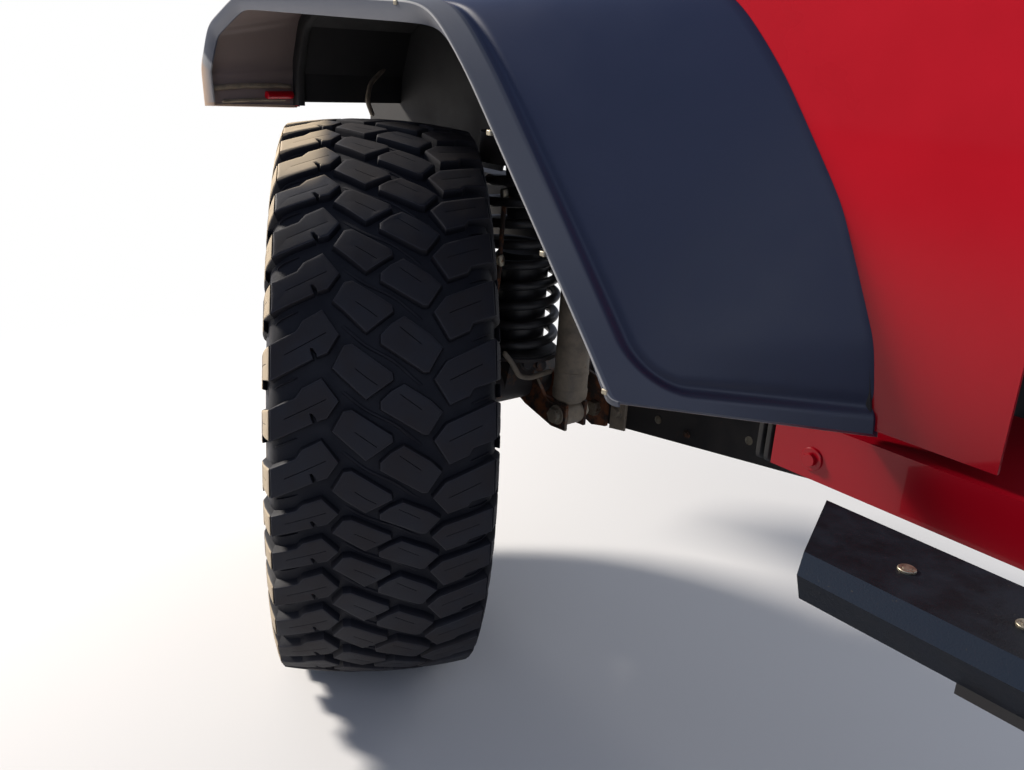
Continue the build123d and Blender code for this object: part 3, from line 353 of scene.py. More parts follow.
# patch, grain and a spot's size are millimetres, and height is how far the grain stands up, in millimetres too
looks = {
    # vulcanised tread rubber, moulded: blue black and dull, painted shade in the hollows, edges scuffed pale,
    # cream dried dust with painted sunlight outboard
    "tyre": {
        "dark": "#181a23", "light": "#221f22", "patch": 70, "grain": 1.2, "height": 0.25, "rough": (0.6, 0.82),
        "gloss": 0.3, "tones": [("#0b0d17", 0.72, 0.2), ("#2e2f36", 0.84, 0.95), ("#bfae94", 0.98, 1.4)]},
    # thermoplastic flare, moulded with a fine grain: dark slate, its blue painted sky light and bluer higher up,
    # a band painted greyer with sky light, a lip painted pale as a highlight and tan as sunlight, an inside
    # painted paler, and specks of grit
    "flare_plastic": {
        "dark": "#1f2437", "light": "#252b40", "patch": 160, "grain": 0.8, "height": 0.05, "rough": (0.36, 0.5),
        "gloss": 0.35, "fade": ("#232f4e", 0.05, 0.5), "spots": ("#84878d", 2.2, 0.72, 0.76),
        "tones": [("#50545f", 0.3, 0.6), ("#9b9c9e", 0.8, 1.0),
                  ("#b39a86", 1.2, 1.5), ("#857774", -1.0, -1.5)]},
    # polyethylene liner, blow moulded: matt black, dust on its ledges
    "liner_plastic": {
        "dark": "#141415", "light": "#1d1c1e", "patch": 70, "grain": 1.0, "height": 0.12, "rough": (0.6, 0.85),
        "dust": ("#3d3631", 0.2)},
    # stoved body enamel under a thin clear coat: even red, with painted shade making it darker low down
    "body_red": {
        "dark": "#b4081b", "light": "#c40c22", "patch": 400, "grain": 1.5, "height": 0.01, "rough": (0.26, 0.34),
        "coat": 0.3, "gloss": 0.14, "fade": ("#8f0215", 0.3, 0.03)},
    # chassis paint on rolled steel: satin black, dusty, rust starting
    "chassis_black": {
        "dark": "#1d1c1d", "light": "#2c2927", "patch": 50, "grain": 0.9, "height": 0.08, "rough": (0.45, 0.7),
        "spots": ("#4a2f20", 22, 0.62, 0.72), "dust": ("#4d443d", 0.3)},
    # painted sand casting: rough skin, brown where the paint has gone
    "axle_cast": {
        "dark": "#232021", "light": "#332e2b", "patch": 40, "grain": 2.2, "height": 0.4, "rough": (0.55, 0.8),
        "spots": ("#5c391e", 22, 0.53, 0.64), "dust": ("#5d5249", 0.35)},
    # pressed steel under old paint: orange rust in patches, bare along the edges
    "rusty_steel": {
        "dark": "#1f1815", "light": "#352419", "patch": 16, "grain": 1.4, "height": 0.35, "rough": (0.7, 0.95),
        "spots": ("#74411f", 34, 0.47, 0.6), "dust": ("#51453a", 0.3), "tones": [("#6e6355", 0.7, 1.0)]},
    # coiled spring steel, powder coated: smooth black, a film of dust
    "spring_black": {
        "dark": "#141416", "light": "#1f1f21", "patch": 30, "grain": 0.7, "height": 0.04, "rough": (0.35, 0.5),
        "dust": ("#544a41", 0.25)},
    # grey enamel on a drawn tube, under road dirt
    "damper_paint": {
        "dark": "#756b5d", "light": "#988b78", "patch": 24, "grain": 1.1, "height": 0.12, "rough": (0.5, 0.75),
        "spots": ("#5b3a22", 12, 0.62, 0.7), "dust": ("#8a7b68", 0.35)},
    # moulded bush rubber: matt, dusty
    "rubber": {
        "dark": "#161618", "light": "#222223", "patch": 30, "grain": 0.8, "height": 0.06, "rough": (0.7, 0.85),
        "dust": ("#4f463e", 0.4)},
    # zinc plated steel, yellowed: rust at the corners
    "zinc_steel": {
        "dark": "#8b8474", "light": "#b2aa97", "patch": 8, "grain": 0.7, "height": 0.03, "rough": (0.35, 0.55),
        "metal": 0.9, "spots": ("#6b4527", 9, 0.56, 0.66)},
    # machined steel with a film of rust
    "bare_steel": {
        "dark": "#6f6a63", "light": "#96918a", "patch": 18, "grain": 0.7, "height": 0.03, "rough": (0.35, 0.6),
        "metal": 0.9, "spots": ("#5c3a22", 12, 0.55, 0.7)},
    # turned iron disc: flash rust
    "brake_steel": {
        "dark": "#6d625a", "light": "#94887d", "patch": 20, "grain": 0.6, "height": 0.03, "rough": (0.35, 0.55),
        "metal": 0.9, "spots": ("#6b3f22", 16, 0.5, 0.66)},
    # bare iron casting under brake dust
    "brake_cast": {
        "dark": "#3a3633", "light": "#4d4843", "patch": 20, "grain": 1.8, "height": 0.3, "rough": (0.6, 0.8),
        "dust": ("#6a5d50", 0.4)},
    # satin dark wheel enamel, sprayed
    "wheel_paint": {
        "dark": "#202124", "light": "#2a2b2e", "patch": 60, "grain": 0.6, "height": 0.02, "rough": (0.32, 0.42),
        "metal": 0.2, "dust": ("#5a5048", 0.2)},
    # textured powder coat: near black, painted blue-grey sky highlights on its slopes, grit chips
    "step_black": {
        "dark": "#15171c", "light": "#1f232b", "patch": 30, "grain": 1.6, "height": 0.35, "rough": (0.42, 0.6),
        "slope": "#262e3a", "spots": ("#4a4640", 5, 0.66, 0.7), "gloss": 0.08, "dust": ("#1c1b1b", 0.06)},
}
finishes = {name: finish(name, look) for name, look in looks.items()}
slotOf = {part["node"]: part["material_slot"] for part in frame["record"]["subparts"]}
for name, node in cadNodes.items():
    node.data.materials.clear()
    node.data.materials.append(finishes[slotOf[name]])
print("finishes made")

# the tyre: how its pitches lie round the ring, and the small sizes of its blocks in millimetres
tyre = {
    # degrees up from straight back of the shoulder blocks' points, from the top one down past the back;
    # the rest of the ring is even
    "points": [61.7, 53.4, 43.9, 33.9, 22.8, 12.9, 3.2, -3.9, -11.0, -19.5, -29.1, -39.3],
    "rest": 28,  # pitches in the even part
    "pitch": 81.0,  # the outlines below are drawn for this pitch
    "point": 45,  # where a shoulder block's point lies in it
    "outline": 38,  # mesh points round a block
    "draft": 1.6,  # the block's foot stands out this much
    "edge": 2.0,  # width of its rounded edge
    "sipe": 0.5,  # half the width of its slit
    "sipeDeep": 0.72,  # height of the slit's floor, as a share of the block's
    "section": 330,  # radius of the middle of the tyre's section
}
# outlines of the blocks of one pitch: toward the inboard side, and round the tyre; past 138 is the side wall
blocks = {
    "outerShoulder": {
        "shift": 0.0, "side": 0,
        "outline": [(-138, 4), (-107, 19), (-99, 32), (-76, 45), (-55.5, 15), (-69, -7), (-81.5, -11.8),
                    (-82.5, -6), (-87.5, -1), (-90, -1.5), (-88, -8), (-85.8, -14), (-137.5, -40)],
        "sipe": [(-120, -9), (-97, 3), (-71, 17)],
    },
    "outerMiddle": {
        "shift": -30.0, "side": 0,
        "outline": [(-63.5, 5.5), (-50, 32), (-40, 34), (8.5, 0.6), (10, -8), (-23, -34)],
        "sipe": [(-36, 4.5), (-10, -15)],
    },
    "innerMiddle": {
        "shift": 4.0, "side": 0,
        "outline": [(-5.5, 11), (7, 24), (23, 34), (56, 12), (70.5, -3), (53, -33), (46.5, -33), (-5.5, 0)],
        "sipe": [(18, 20), (44, 0)],
    },
    "innerShoulder": {
        "shift": -28.0, "side": 0,
        "outline": [(59.5, -9), (75, 13), (137.5, 43), (138.5, -10), (109, -21), (104, -31), (79, -43)],
        "sipe": [(79, -10), (120, 10)],
    },
    "outerWall": {
        "shift": 0.0, "side": 1,
        "outline": [(-139, 3), (-139, -39), (-190, -35), (-201, -27), (-201, -12), (-190, -1)],
        "sipe": [(-150, -18), (-186, -18)],
    },
    "innerWall": {
        "shift": -28.0, "side": -1,
        "outline": [(139, -9), (139, 42), (190, 38), (201, 28), (201, 8), (190, -4)],
        "sipe": [(150, 17), (186, 17)],
    },
    "outerLow": {
        "shift": -40.0, "side": 1,
        "outline": [(-176, 10), (-176, -10), (-222, -9), (-230, -3), (-230, 3), (-222, 9)],
        "sipe": [(-186, 0), (-216, 0)],
    },
    "innerLow": {
        "shift": 30.0, "side": -1,
        "outline": [(176, 10), (176, -10), (222, -9), (230, -3), (230, 3), (222, 9)],
        "sipe": [(186, 0), (216, 0)],
    },
}
# the tread's top and its groove floor: distance over the crown and down the wall, then across and radius
topCurve = np.array([(0, 0, 439.5), (40, 40, 438.5), (80, 80, 435.4), (110, 110, 431.5), (130, 130, 428.2),
                     (137, 137, 426.8), (139, 138.8, 425.2), (150, 143.0, 414), (165, 147, 400),
                     (185, 150.2, 380.5), (205, 151.6, 361), (235, 151.4, 331)])
floorCurve = np.array([(0, 0, 430), (110, 110, 421.5), (126, 125, 418), (138, 134, 410), (150, 138.5, 399),
                       (165, 142, 386), (185, 145.6, 368), (205, 147.8, 350), (235, 149, 322)])

anchors = np.array(tyre["points"])
even = np.full(tyre["rest"], (360 - (anchors[0] - anchors[-1])) / tyre["rest"])
anchors = np.concatenate([anchors, anchors[-1] - np.cumsum(even)])
pitchCount = len(anchors) - 1
lap = np.concatenate([anchors[:-1] + 360, anchors, anchors[1:] - 360])
lapIndex = np.arange(len(lap)) - pitchCount


def treadTurn(roundMm, pitchNumber):
    # millimetres round the tyre from a shoulder block's point, stretched to the pitch that they fall in
    place = pitchNumber - (roundMm - tyre["point"]) / tyre["pitch"]
    return np.radians(np.interp(place, lapIndex, lap))


def treadSurface(across, turn, height):
    # blends from the groove floor to the tread's top by height, each read off its curve, and wraps it round
    # the wheel
    reach, side = np.abs(across), np.sign(across)
    low = [np.interp(reach, floorCurve[:, 0], floorCurve[:, k]) for k in (1, 2)]
    high = [np.interp(reach, topCurve[:, 0], topCurve[:, k]) for k in (1, 2)]
    out = side * (low[0] + height * (high[0] - low[0]))
    radius = low[1] + height * (high[1] - low[1])
    return onWheel(-out, radius, turn)


def fromCore(centres):
    # away from the middle of the tyre's own section
    offset = centres - wheelCentre
    radial = offset - (offset @ spin)[:, None] * spin
    core = wheelCentre + radial / np.linalg.norm(radial, axis=1)[:, None] * tyre["section"]
    return centres - core


# dried dust and painted sunlight on the outboard side: how much, and where it fades, in millimetres outboard or
# in degrees up from straight back
dust = {
    "wall": 0.26, "wallPatch": 0.24, "wallFoot": (232, 170),
    "edge": 0.5, "edgeStart": (135, 143), "edgeEnd": (190, 160),
    "shoulder": 0.55, "shoulderStart": (52, 66), "shoulderEnd": (120, 100), "shoulderInner": (40, 105),
}


def dustAndSunlitTone(across, turn, onOuterWall):
    # dust and painted sunlight, the most of three: patches on the outboard wall, its edge, and the shoulder that
    # stands uppermost
    outboard = -across
    patch = 0.5 + 0.5 * np.sin(turn * 23 + across * 0.11) * np.sin(turn * 7.3 + across * 0.043 + 1.1)
    wall = onOuterWall * (dust["wall"] + dust["wallPatch"] * patch) * smooth(outboard, *dust["wallFoot"])
    edge = dust["edge"] * smooth(outboard, *dust["edgeStart"]) * smooth(outboard, *dust["edgeEnd"])
    up = np.degrees(turn) % 360
    shoulder = smooth(up, *dust["shoulderStart"]) * smooth(up, *dust["shoulderEnd"])
    shoulder = dust["shoulder"] * shoulder * smooth(outboard, *dust["shoulderInner"])
    return np.maximum(np.maximum(wall, edge), shoulder)


# each block is one grid: round its outline, then up the drafted wall, over the edge, in to the sipe and down it
blockPoints, blockTone = [], []
for shape in blocks.values():
    outline = evenOutline(shape["outline"], tyre["outline"])
    normal = outwardOf(outline)
    sipe = nearestOn(shape["sipe"], outline)
    inward = outline - sipe
    inward /= np.linalg.norm(inward, axis=1)[:, None]
    slit = sipe + inward * tyre["sipe"]
    top = outline - normal * tyre["edge"]
    rings = [
        # place, height and tone; the low tone down the wall and in the sipe is painted shade
        (outline + normal * tyre["draft"], -0.05, 0.0),
        (outline + normal * tyre["draft"] * 0.45, 0.5, 0.4),
        (outline, 0.86, 0.75),
        (outline - normal * tyre["edge"] * 0.3, 0.96, 0.93),
        (top, 1.0, 0.84),
        (top + (slit - top) * 0.12, 1.0, 0.8),
        (top + (slit - top) * 0.6, 1.0, 0.8),
        (slit, 0.97, 0.8),
        (sipe, tyre["sipeDeep"], 0.0),
    ]
    flat = np.stack([ring[0] for ring in rings], 1)
    height = np.array([ring[1] for ring in rings])[None, :]
    tones = np.array([ring[2] for ring in rings])[None, :]
    turn = treadTurn(flat[None, :, :, 1] + shape["shift"], np.arange(pitchCount)[:, None, None])
    across = np.broadcast_to(flat[None, :, :, 0], turn.shape)
    blockPoints.append(treadSurface(across, turn, np.broadcast_to(height, turn.shape)))
    # the tops and edges get dust and painted sunlight on the outboard side and on the uppermost shoulder
    blockTone.append(tones + dustAndSunlitTone(across, turn, shape["side"] == 1) * (tones > 0.7))
blockPoints, blockTone = np.concatenate(blockPoints), np.concatenate(blockTone)
copies, around, rows = blockPoints.shape[:3]
meshPiece("tread_blocks", blockPoints, gridQuads(around, rows, True, False, copies), "wheel", "tyre", blockTone,
          outward=fromCore, sharp=30)

# carcass: a closed section, out over the groove floor, down the wall to the bead and back inside, revolved
carcass = {
    # across and radius down the ringed wall, round the bead, along its seat and back up the inside
    "wall": [(149, 322), (148.4, 314), (149, 309), (147.4, 306), (145.4, 294), (141.5, 279), (138.0, 271),
             (139.4, 268), (138.2, 263), (131, 256), (124, 250), (117, 245), (113, 243), (108.3, 239),
             (108, 218.15), (92, 218.15), (92, 244), (120, 270), (136, 300), (138, 330), (128, 372),
             (112, 402), (60, 408)],
    "crown": (0, 410),
    "section": 190,
    "around": 240,
}
half = np.concatenate([floorCurve[:-1, 1:], carcass["wall"]])
mirrored = half[::-1] * (-1, 1)
section = np.concatenate([half, [carcass["crown"]], mirrored[:-1]])
section = along(np.concatenate([section, section[:1]]), carcass["section"])[:-1]
turns = np.linspace(0, 2 * np.pi, carcass["around"], endpoint=False)
carcassPoints = onWheel(section[None, :, 0], section[None, :, 1], turns[:, None])
wallTone = 0.72 + 0.3 * smooth(section[:, 0], 132, 146) * smooth(section[:, 1], 240, 380)  # dust and painted sunlight on the outboard wall
carcassTone = np.where(section[:, 1] > 400, 0.05, wallTone)[None]  # past that radius are the groove floors, darkened with painted shade
carcassTone = carcassTone + 0.05 * np.sin(turns * 11)[:, None] * (wallTone > 0.9)
sweptPiece("tyre_carcass", carcassPoints, "wheel", "tyre", ring=True, tone=carcassTone,
           outward=fromCore, sharp=40)
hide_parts("tyre")

# ridges on the groove floors: a half-round section carried along each path, sunk at both ends
ridges = {
    "curved": {"path": [(-54, 30), (-24, 3), (13, -16), (47, -47)], "soften": 7.0, "wide": 2.6, "high": 0.26},
    "outboardBar": {"path": [(-136, -50), (-104, -35)], "soften": 0.0, "wide": 1.1, "high": 0.35},
    "inboardBar": {"path": [(136, -58), (106, -70)], "soften": 0.0, "wide": 1.1, "high": 0.35},
}
ridgeCount, ridgeAround = 14, 6
for name, ridge in ridges.items():
    path = along(ridge["path"], ridgeCount, ridge["soften"])
    tangent = np.gradient(path, axis=0)
    aside = np.stack([-tangent[:, 1], tangent[:, 0]], -1) / np.linalg.norm(tangent, axis=1)[:, None]
    arc = np.linspace(0, np.pi, ridgeAround)
    rise = np.sin(np.linspace(0, np.pi, ridgeCount)) ** 0.4
    spots = path[:, None] + aside[:, None] * (ridge["wide"] * np.cos(arc))[None, :, None]
    height = rise[:, None] * np.sin(arc)[None] * ridge["high"] - 0.03
    turn = treadTurn(spots[None, ..., 1], np.arange(pitchCount)[:, None, None])
    across = np.broadcast_to(spots[None, ..., 0], turn.shape)
    points = treadSurface(across, turn, np.broadcast_to(height, turn.shape))
    # painted shade, darkest where the ridges meet the groove floor
    tone = np.broadcast_to(0.2 + 0.4 * np.clip(height * 3, 0, 1), turn.shape)
    quads = gridQuads(ridgeCount, ridgeAround, False, False, pitchCount)
    meshPiece("tread_" + name, points, quads, "wheel", "tyre", tone, outward=fromCore)
print("tyre made")

# the flare, in millimetres: a section from the body's edge out to the lip and back inside, round the arch
flare = {
    "out": 935.0,  # the lip's edge, and next where the flare meets the body
    "bodyOut": 745.0,
    "band": 35.0,  # width of the raised band along the lip, and next at the two ends
    "footBand": 15.0,
    "sunk": 5.0,  # the panel lies this far below the band
    "corner": 56.0,  # radius of the panel's corners
    "groove": 2.6,  # depth of the groove round the panel, then how far in it lies and its half width
    "grooveIn": 11.0,
    "grooveWide": 5.5,
    "wall": 5.0,  # thickness
    "footRound": 8.0,  # the rear corner of the lip
    "ribHigh": 1.2,  # stiffening ribs moulded inside, and their spacing
    "ribPitch": 90.0,
    "count": 260,  # stations along the arch
    "crowd": 0.11,  # they stand closer together at the two ends
    "soften": (12, 3.8),  # the bends are rounded over these counts of stations
    "columns": (22, 30, 8),  # mesh columns over the panel, at its step down and over the band
    "root": -3.0,  # the section starts here, out from the body edge
    "panelEnd": 62.0,  # the panel's own columns end this far in from the band
    "step": (-60.0, 3.0),  # the step's columns, out from the band's inner edge
    "over": (0.12, 0.91),  # the band's columns, as shares of its width
    "bandSkyLitTone": (0.42, 0.42, 230, 580),  # painted sky light on the band: at the feet, what the top adds, and the heights that it grows between
    # lip forward, lip up, body edge forward, body edge up
    "rows": [(-588, 222, -780, 212), (-571, 241, -777, 242), (-545, 271, -765, 305), (-443, 386, -705, 432),
             (-312, 533, -611, 556), (-236, 600, -520, 646), (280, 610, 340, 652), (400, 560, 450, 592),
             (436, 492, 478, 510), (426, 428, 476, 422)],
    # round the lip: past its edge, up and tone; the pale tone is a painted highlight
    "lip": [(-4, 0, 0.7), (-1.6, -0.5, 1.0), (-0.4, -1.8, 1.0), (0, -4, 0.65),
            (0, -24, 0.5), (-1, -26, 0.5), (-4, -26, 0.4), (-5, -24, -1.5)],
    # the inside is painted paler and browner, standing in for light
    "insideLitTone": -1.5,
    "frontSunlitTone": 1.6,  # the front end's edge is painted tan with sunlight
    "frontLipSunlight": (0.8, 110, 60),  # painted sunlight on the lip near that end: how much, and from where to where before it
}
flareRows = np.array(flare["rows"], float)
rowLength = np.concatenate([[0], np.cumsum(np.linalg.norm(np.diff(flareRows[:, :2], axis=0), axis=1))])
stations = np.linspace(0, 1, flare["count"])
stations = rowLength[-1] * (stations - flare["crowd"] * np.sin(2 * np.pi * stations))
table = np.stack([np.interp(stations, rowLength, flareRows[:, k]) for k in range(4)], -1)
table = rounded(table, *flare["soften"])
lip = np.insert(table[:, :2], 1, flare["out"], axis=1)
bodyEdge = np.insert(table[:, 2:], 1, flare["bodyOut"], axis=1)
width = np.linalg.norm(lip - bodyEdge, axis=1)[:, None]
acrossWay = (lip - bodyEdge) / width
nearFoot = np.clip(1 - stations[:, None] / flare["footRound"], 0, 1)
width = width - flare["footRound"] * (1 - np.sqrt(1 - nearFoot**2))
outWay = np.cross(np.gradient(lip, axis=0), acrossWay)
outWay /= np.linalg.norm(outWay, axis=1)[:, None]
outWay *= np.sign((outWay * (lip - wheelCentre)).sum(1).mean())

# section: from the body edge out to the lip, over it, down and back inside; columns crowd where the panel steps
inBand = width - flare["band"]
panelCols, stepCols, bandCols = flare["columns"]
reachOut = np.concatenate([
    flare["root"] + np.linspace(0, 1, panelCols)[None] * (inBand - flare["panelEnd"] - flare["root"]),
    inBand + np.linspace(*flare["step"], stepCols)[None],
    inBand + np.linspace(*flare["over"], bandCols)[None] * flare["band"]], 1)
toBand = np.maximum(flare["corner"] - (inBand - reachOut), 0)
toFoot = np.maximum(flare["corner"] - (stations[:, None] - flare["footBand"]), 0)
toFront = np.maximum(flare["corner"] - (stations[-1] - stations[:, None] - flare["footBand"]), 0)
inside = flare["corner"] - np.sqrt(toBand**2 + toFoot**2 + toFront**2)  # in from the band, round the corners
groove = flare["groove"] * np.exp(-(((inside - flare["grooveIn"]) / flare["grooveWide"]) ** 2))
sunk = -flare["sunk"] * smooth(inside, -3, 10) - groove
footTone, topAdds, low, high = flare["bandSkyLitTone"]
bandSkyLitTone = footTone + topAdds * smooth(table[:, 1:2], low, high)  # painted sky light: the band is paler towards the top
outerSkyLitTone = bandSkyLitTone * (1 - smooth(inside, -3, 7))
# the lip's pale tone is a painted highlight, and the tan near the front end is painted sunlight
past, up, lipLitTone = (np.tile([row[k] for row in flare["lip"]], (flare["count"], 1)) for k in range(3))
amount, sunlitFrom, sunlitTo = flare["frontLipSunlight"]
lipLitTone = lipLitTone + amount * smooth(stations, stations[-1] - sunlitFrom, stations[-1] - sunlitTo)[:, None]
share = np.linspace(1, 0, reachOut.shape[1])[None, :]
backReach = reachOut[:, ::-1] - (flare["wall"] - 4) * share
ribs = flare["ribHigh"] * smooth(np.cos(stations * 2 * np.pi / flare["ribPitch"]), 0.86, 0.98)[:, None]
backSunk = np.broadcast_to(-flare["sunk"] - flare["wall"] - ribs, backReach.shape)
sectionReach = np.concatenate([reachOut[:, 1:-1], width + past, backReach], 1)
sectionSunk = np.concatenate([sunk[:, 1:-1], up, backSunk], 1)
sectionTone = np.concatenate([outerSkyLitTone[:, 1:-1], lipLitTone, np.full_like(backReach, flare["insideLitTone"])], 1)
sectionTone[-3:] = flare["frontSunlitTone"]
flareGrid = bodyEdge[:, None] + sectionReach[..., None] * acrossWay[:, None]
flareGrid = flareGrid + sectionSunk[..., None] * outWay[:, None]
flarePiece = sweptPiece("flare_shell", flareGrid, "vehicle_side", "flare_plastic", tone=sectionTone, sharp=38)
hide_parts("flare")
print("flare made")

# the rubber trim and the flare's flange, both along the wheel arch's edge
trim = {
    # forward and up along the arch's edge
    "line": [(-758, 216), (-743, 283), (-683, 410), (-589, 534), (-498, 624),
             (318, 630), (428, 570), (456, 488), (454, 428)],
    "count": 200,
    "soften": 10.0,
    "beadOut": 741,  # the bead's middle outboard, its shift in, and its half sizes
    "beadShift": 2,
    "beadHalf": (7, 8),
    "beadAround": 16,
    # the flange that the flare is screwed on by, flat on the wing: in from the arch's edge, outboard
    "flange": [(-15, 745.3), (-15, 748.3), (-8, 748.6), (-1, 748.3), (-1, 745.3), (-8, 745.3)],
}
trimLine = along(trim["line"], trim["count"], trim["soften"])
trimWay = np.gradient(trimLine, axis=0)
trimIn = np.stack([trimWay[:, 1], -trimWay[:, 0]], -1) / np.linalg.norm(trimWay, axis=1)[:, None]


def alongArch(name, profile, slot):
    # a closed profile, in from the arch's edge and outboard, carried round the arch
    inTo, outboard = np.asarray(profile, float).T[:, None]
    forward, up = (trimLine[:, k, None] + trimIn[:, k, None] * inTo for k in (0, 1))
    grid = np.stack(np.broadcast_arrays(forward, outboard, up), -1)
    return sweptPiece(name, grid, "vehicle_side", slot)


angle = np.linspace(0, 2 * np.pi, trim["beadAround"], endpoint=False)
bead = np.stack([signedPower(np.cos(angle), 0.6), signedPower(np.sin(angle), 0.6)], -1) * trim["beadHalf"]
alongArch("arch_trim", bead + (trim["beadShift"], trim["beadOut"]), "rubber")
alongArch("flare_flange", trim["flange"], "liner_plastic")
print("trim made")

# pipes and rods, then bolts, blocks and straps, all on the vehicle's side
tubes = {
    # the flare's inner ribs carry the pale damper paint as a painted highlight along them
    "front_rib": {
        "path": [(421, 922, 458), (437, 860, 462), (456, 780, 462), (463, 752, 460)],
        "radius": 4.5, "soften": 6.0, "finish": "damper_paint"},
    "front_lower_rib": {
        "path": [(423, 905, 436), (440, 840, 438), (460, 765, 438)],
        "radius": 3.0, "soften": 6.0, "finish": "damper_paint"},
    "lamp_lead_guard": {
        "path": [(446, 812, 446), (455, 780, 446), (462, 752, 446)],
        "radius": 7.0, "soften": 6.0, "finish": "body_red"},
    "stay_rod": {
        "path": [(452, 560, 500), (441, 600, 470), (420, 618, 440), (398, 618, 414)],
        "radius": 4.5, "soften": 8.0, "finish": "damper_paint"},
    "axle_breather_pipe": {
        "path": [(-70, 652, 85), (-70, 634, 65), (-70, 615, 37),
                 (-70, 590, 29), (-70, 557, 33), (-74, 543, 36)],
        "radius": 4.4, "soften": 5.0, "finish": "damper_paint"},
    "brake_pipe": {
        "path": [(-30, 462, 250), (-10, 500, 232), (6, 560, 300), (-14, 622, 330),
                 (-34, 640, 268), (-40, 646, 200), (-30, 652, 120)],
        "radius": 4.0, "soften": 14.0, "finish": "rusty_steel", "count": 110},
    "wiring_loom": {
        "path": along([(-880, 508, 668), (-620, 504, 676), (-300, 508, 664),
                       (40, 504, 674), (330, 508, 662), (540, 504, 668)], 260, 40.0),
        "radius": 6.5, "soften": 8.0, "finish": "rubber", "count": 260},
}
for name, piece in tubes.items():
    tube(name, piece["path"], piece["radius"], "vehicle_side", piece["finish"], piece["soften"],
         piece.get("count", 60))

turnedPieces = {
    "perch_bolts": {
        "rows": boltRows(8, 9, 12), "spots": [(-60, 592, 52), (-64, 566, 47)],
        "axis": (-1, 0.5, 0.2), "finish": "axle_cast"},
    "damper_bolt_cap": {
        "rows": boltRows(13, 12, 17), "spots": [(-100, 550, -35)], "axis": (0, 1, 0), "finish": "damper_paint"},
    "damper_base": {
        "rows": [(-16, 0, 0), (-16, 15, 0), (-13, 22, 0), (-3, 29.6, 0),
                 (9, 30.2, 0), (12, 29.2, 0), (12, 0, 0)],
        "spots": [(-100, 524, 0)], "axis": (0, 0, 1), "finish": "damper_paint", "around": 48},
    "damper_band": {
        "rows": [(-3, 28, 0), (-3, 29.9, 0), (3, 29.9, 0), (3, 28, 0)],
        "spots": [(-100, 524, 40), (-100, 524, 186)],
        "axis": (0, 0, 1), "finish": "damper_paint", "around": 48},
    "arm_strap_bolt": {
        "rows": boltRows(8, 8, 11), "spots": [(-147, 450, -34)], "axis": (0, 1, 0), "finish": "damper_paint"},
    "arm_drillings": {
        "rows": [(-1, 0, 0), (-1, 7, 0), (0.6, 7, 0), (0.6, 5.6, 0), (0.1, 5.2, 0), (0.1, 0, 0)],
        "spots": [(-236, 445.2, -19), (-420, 445.2, 10)], "axis": (0, 1, 0), "finish": "zinc_steel"},
    "brake_line_clips": {
        "rows": boltRows(5, 5, 7), "spots": [(-300, 445, -22)], "axis": (0, 1, 0), "finish": "rusty_steel"},
    "pipe_unions": {
        "rows": [(-9, 0, 0), (-9, 6, 0), (-4, 7.4, 6), (5, 7.4, 6), (9, 5.6, 0), (9, 0, 0)],
        "spots": [(-14, 622, 330), (-38, 643, 230)], "axis": (0, 0.2, 1), "finish": "zinc_steel"},
    "spring_seats": {
        "rows": [(-5, 40, 0), (-5, 68, 0), (-2, 71, 0), (3, 71, 0), (6, 67, 0), (6, 40, 0)],
        "spots": [(0, 566, 62), (0, 566, 416)], "axis": (0, 0, 1), "finish": "rubber", "around": 60},
    "rail_plugs": {
        "rows": plugRows(13, 10, 8),
        "spots": [(x, 460, 180) for x in (-1010, -860, -710)] + [(x, 460, 265) for x in (-250, -160, 120, 260)],
        "axis": (0, 1, 0), "finish": "rubber"},
    "rail_inner_plugs": {
        "rows": plugRows(16, 12, 10),
        "spots": [(x, 400, 180) for x in (-1000, -780)] + [(x, 400, 265) for x in (-220, 40, 280)],
        "axis": (0, -1, 0), "finish": "rubber"},
    "inner_wing_bolts": {
        "rows": boltRows(6, 5, 9), "spots": [(x, 516, 700) for x in range(-860, 560, 155)],
        "axis": (0, -1, 0), "finish": "zinc_steel"},
    "step_screws": {
        "rows": boltRows(5, 2.5, 8), "spots": [(x, 880, 160) for x in (-900, -1000, -1080)],
        "axis": (0, 0, 1), "finish": "zinc_steel"},
    "sill_bolt": {
        "rows": boltRows(8, 7, 13), "spots": [(-712, 745.2, 160)], "axis": (0, 1, 0), "finish": "body_red"},
}
for name, piece in turnedPieces.items():
    turned(name, piece["rows"], piece["spots"], piece["axis"], "vehicle_side", piece["finish"],
           piece.get("around", 30))

blockPieces = {
    "lip_clips": {
        "spots": [(-366, 933, 465), (-469, 933, 350), (-579, 932, 228),
                  (300, 933, 606), (60, 933, 606), (-170, 933, 598)],
        "halves": (4.0, 2.6, 3.0), "finish": "zinc_steel"},
    "inner_wing_swages": {
        "spots": [(-90, 515.6, z) for z in (640, 585, 530)],
        "halves": (390, 1.8, 9), "finish": "liner_plastic", "power": 0.3, "around": 24},
    "inner_wing_upright_swages": {
        "spots": [(x, 515.6, 430) for x in (-860, -800, -740)],
        "halves": (9, 1.8, 190), "finish": "liner_plastic", "power": 0.3, "around": 24},
    "loom_clips": {
        "spots": tubes["wiring_loom"]["path"][20:250:46],
        "halves": (5, 9, 9), "finish": "chassis_black", "power": 0.25},
    "sill_seal_front": {"spots": [(-655, 716, 168)], "halves": (3.4, 30, 33), "finish": "rubber", "power": 0.2},
    "sill_seal_rear": {"spots": [(-644, 716, 168)], "halves": (3.4, 30, 33), "finish": "rubber", "power": 0.2},
}
for name, piece in blockPieces.items():
    block(name, piece["spots"], piece["halves"], "vehicle_side", piece["finish"],
          piece.get("power", 0.35), piece.get("around", 16))

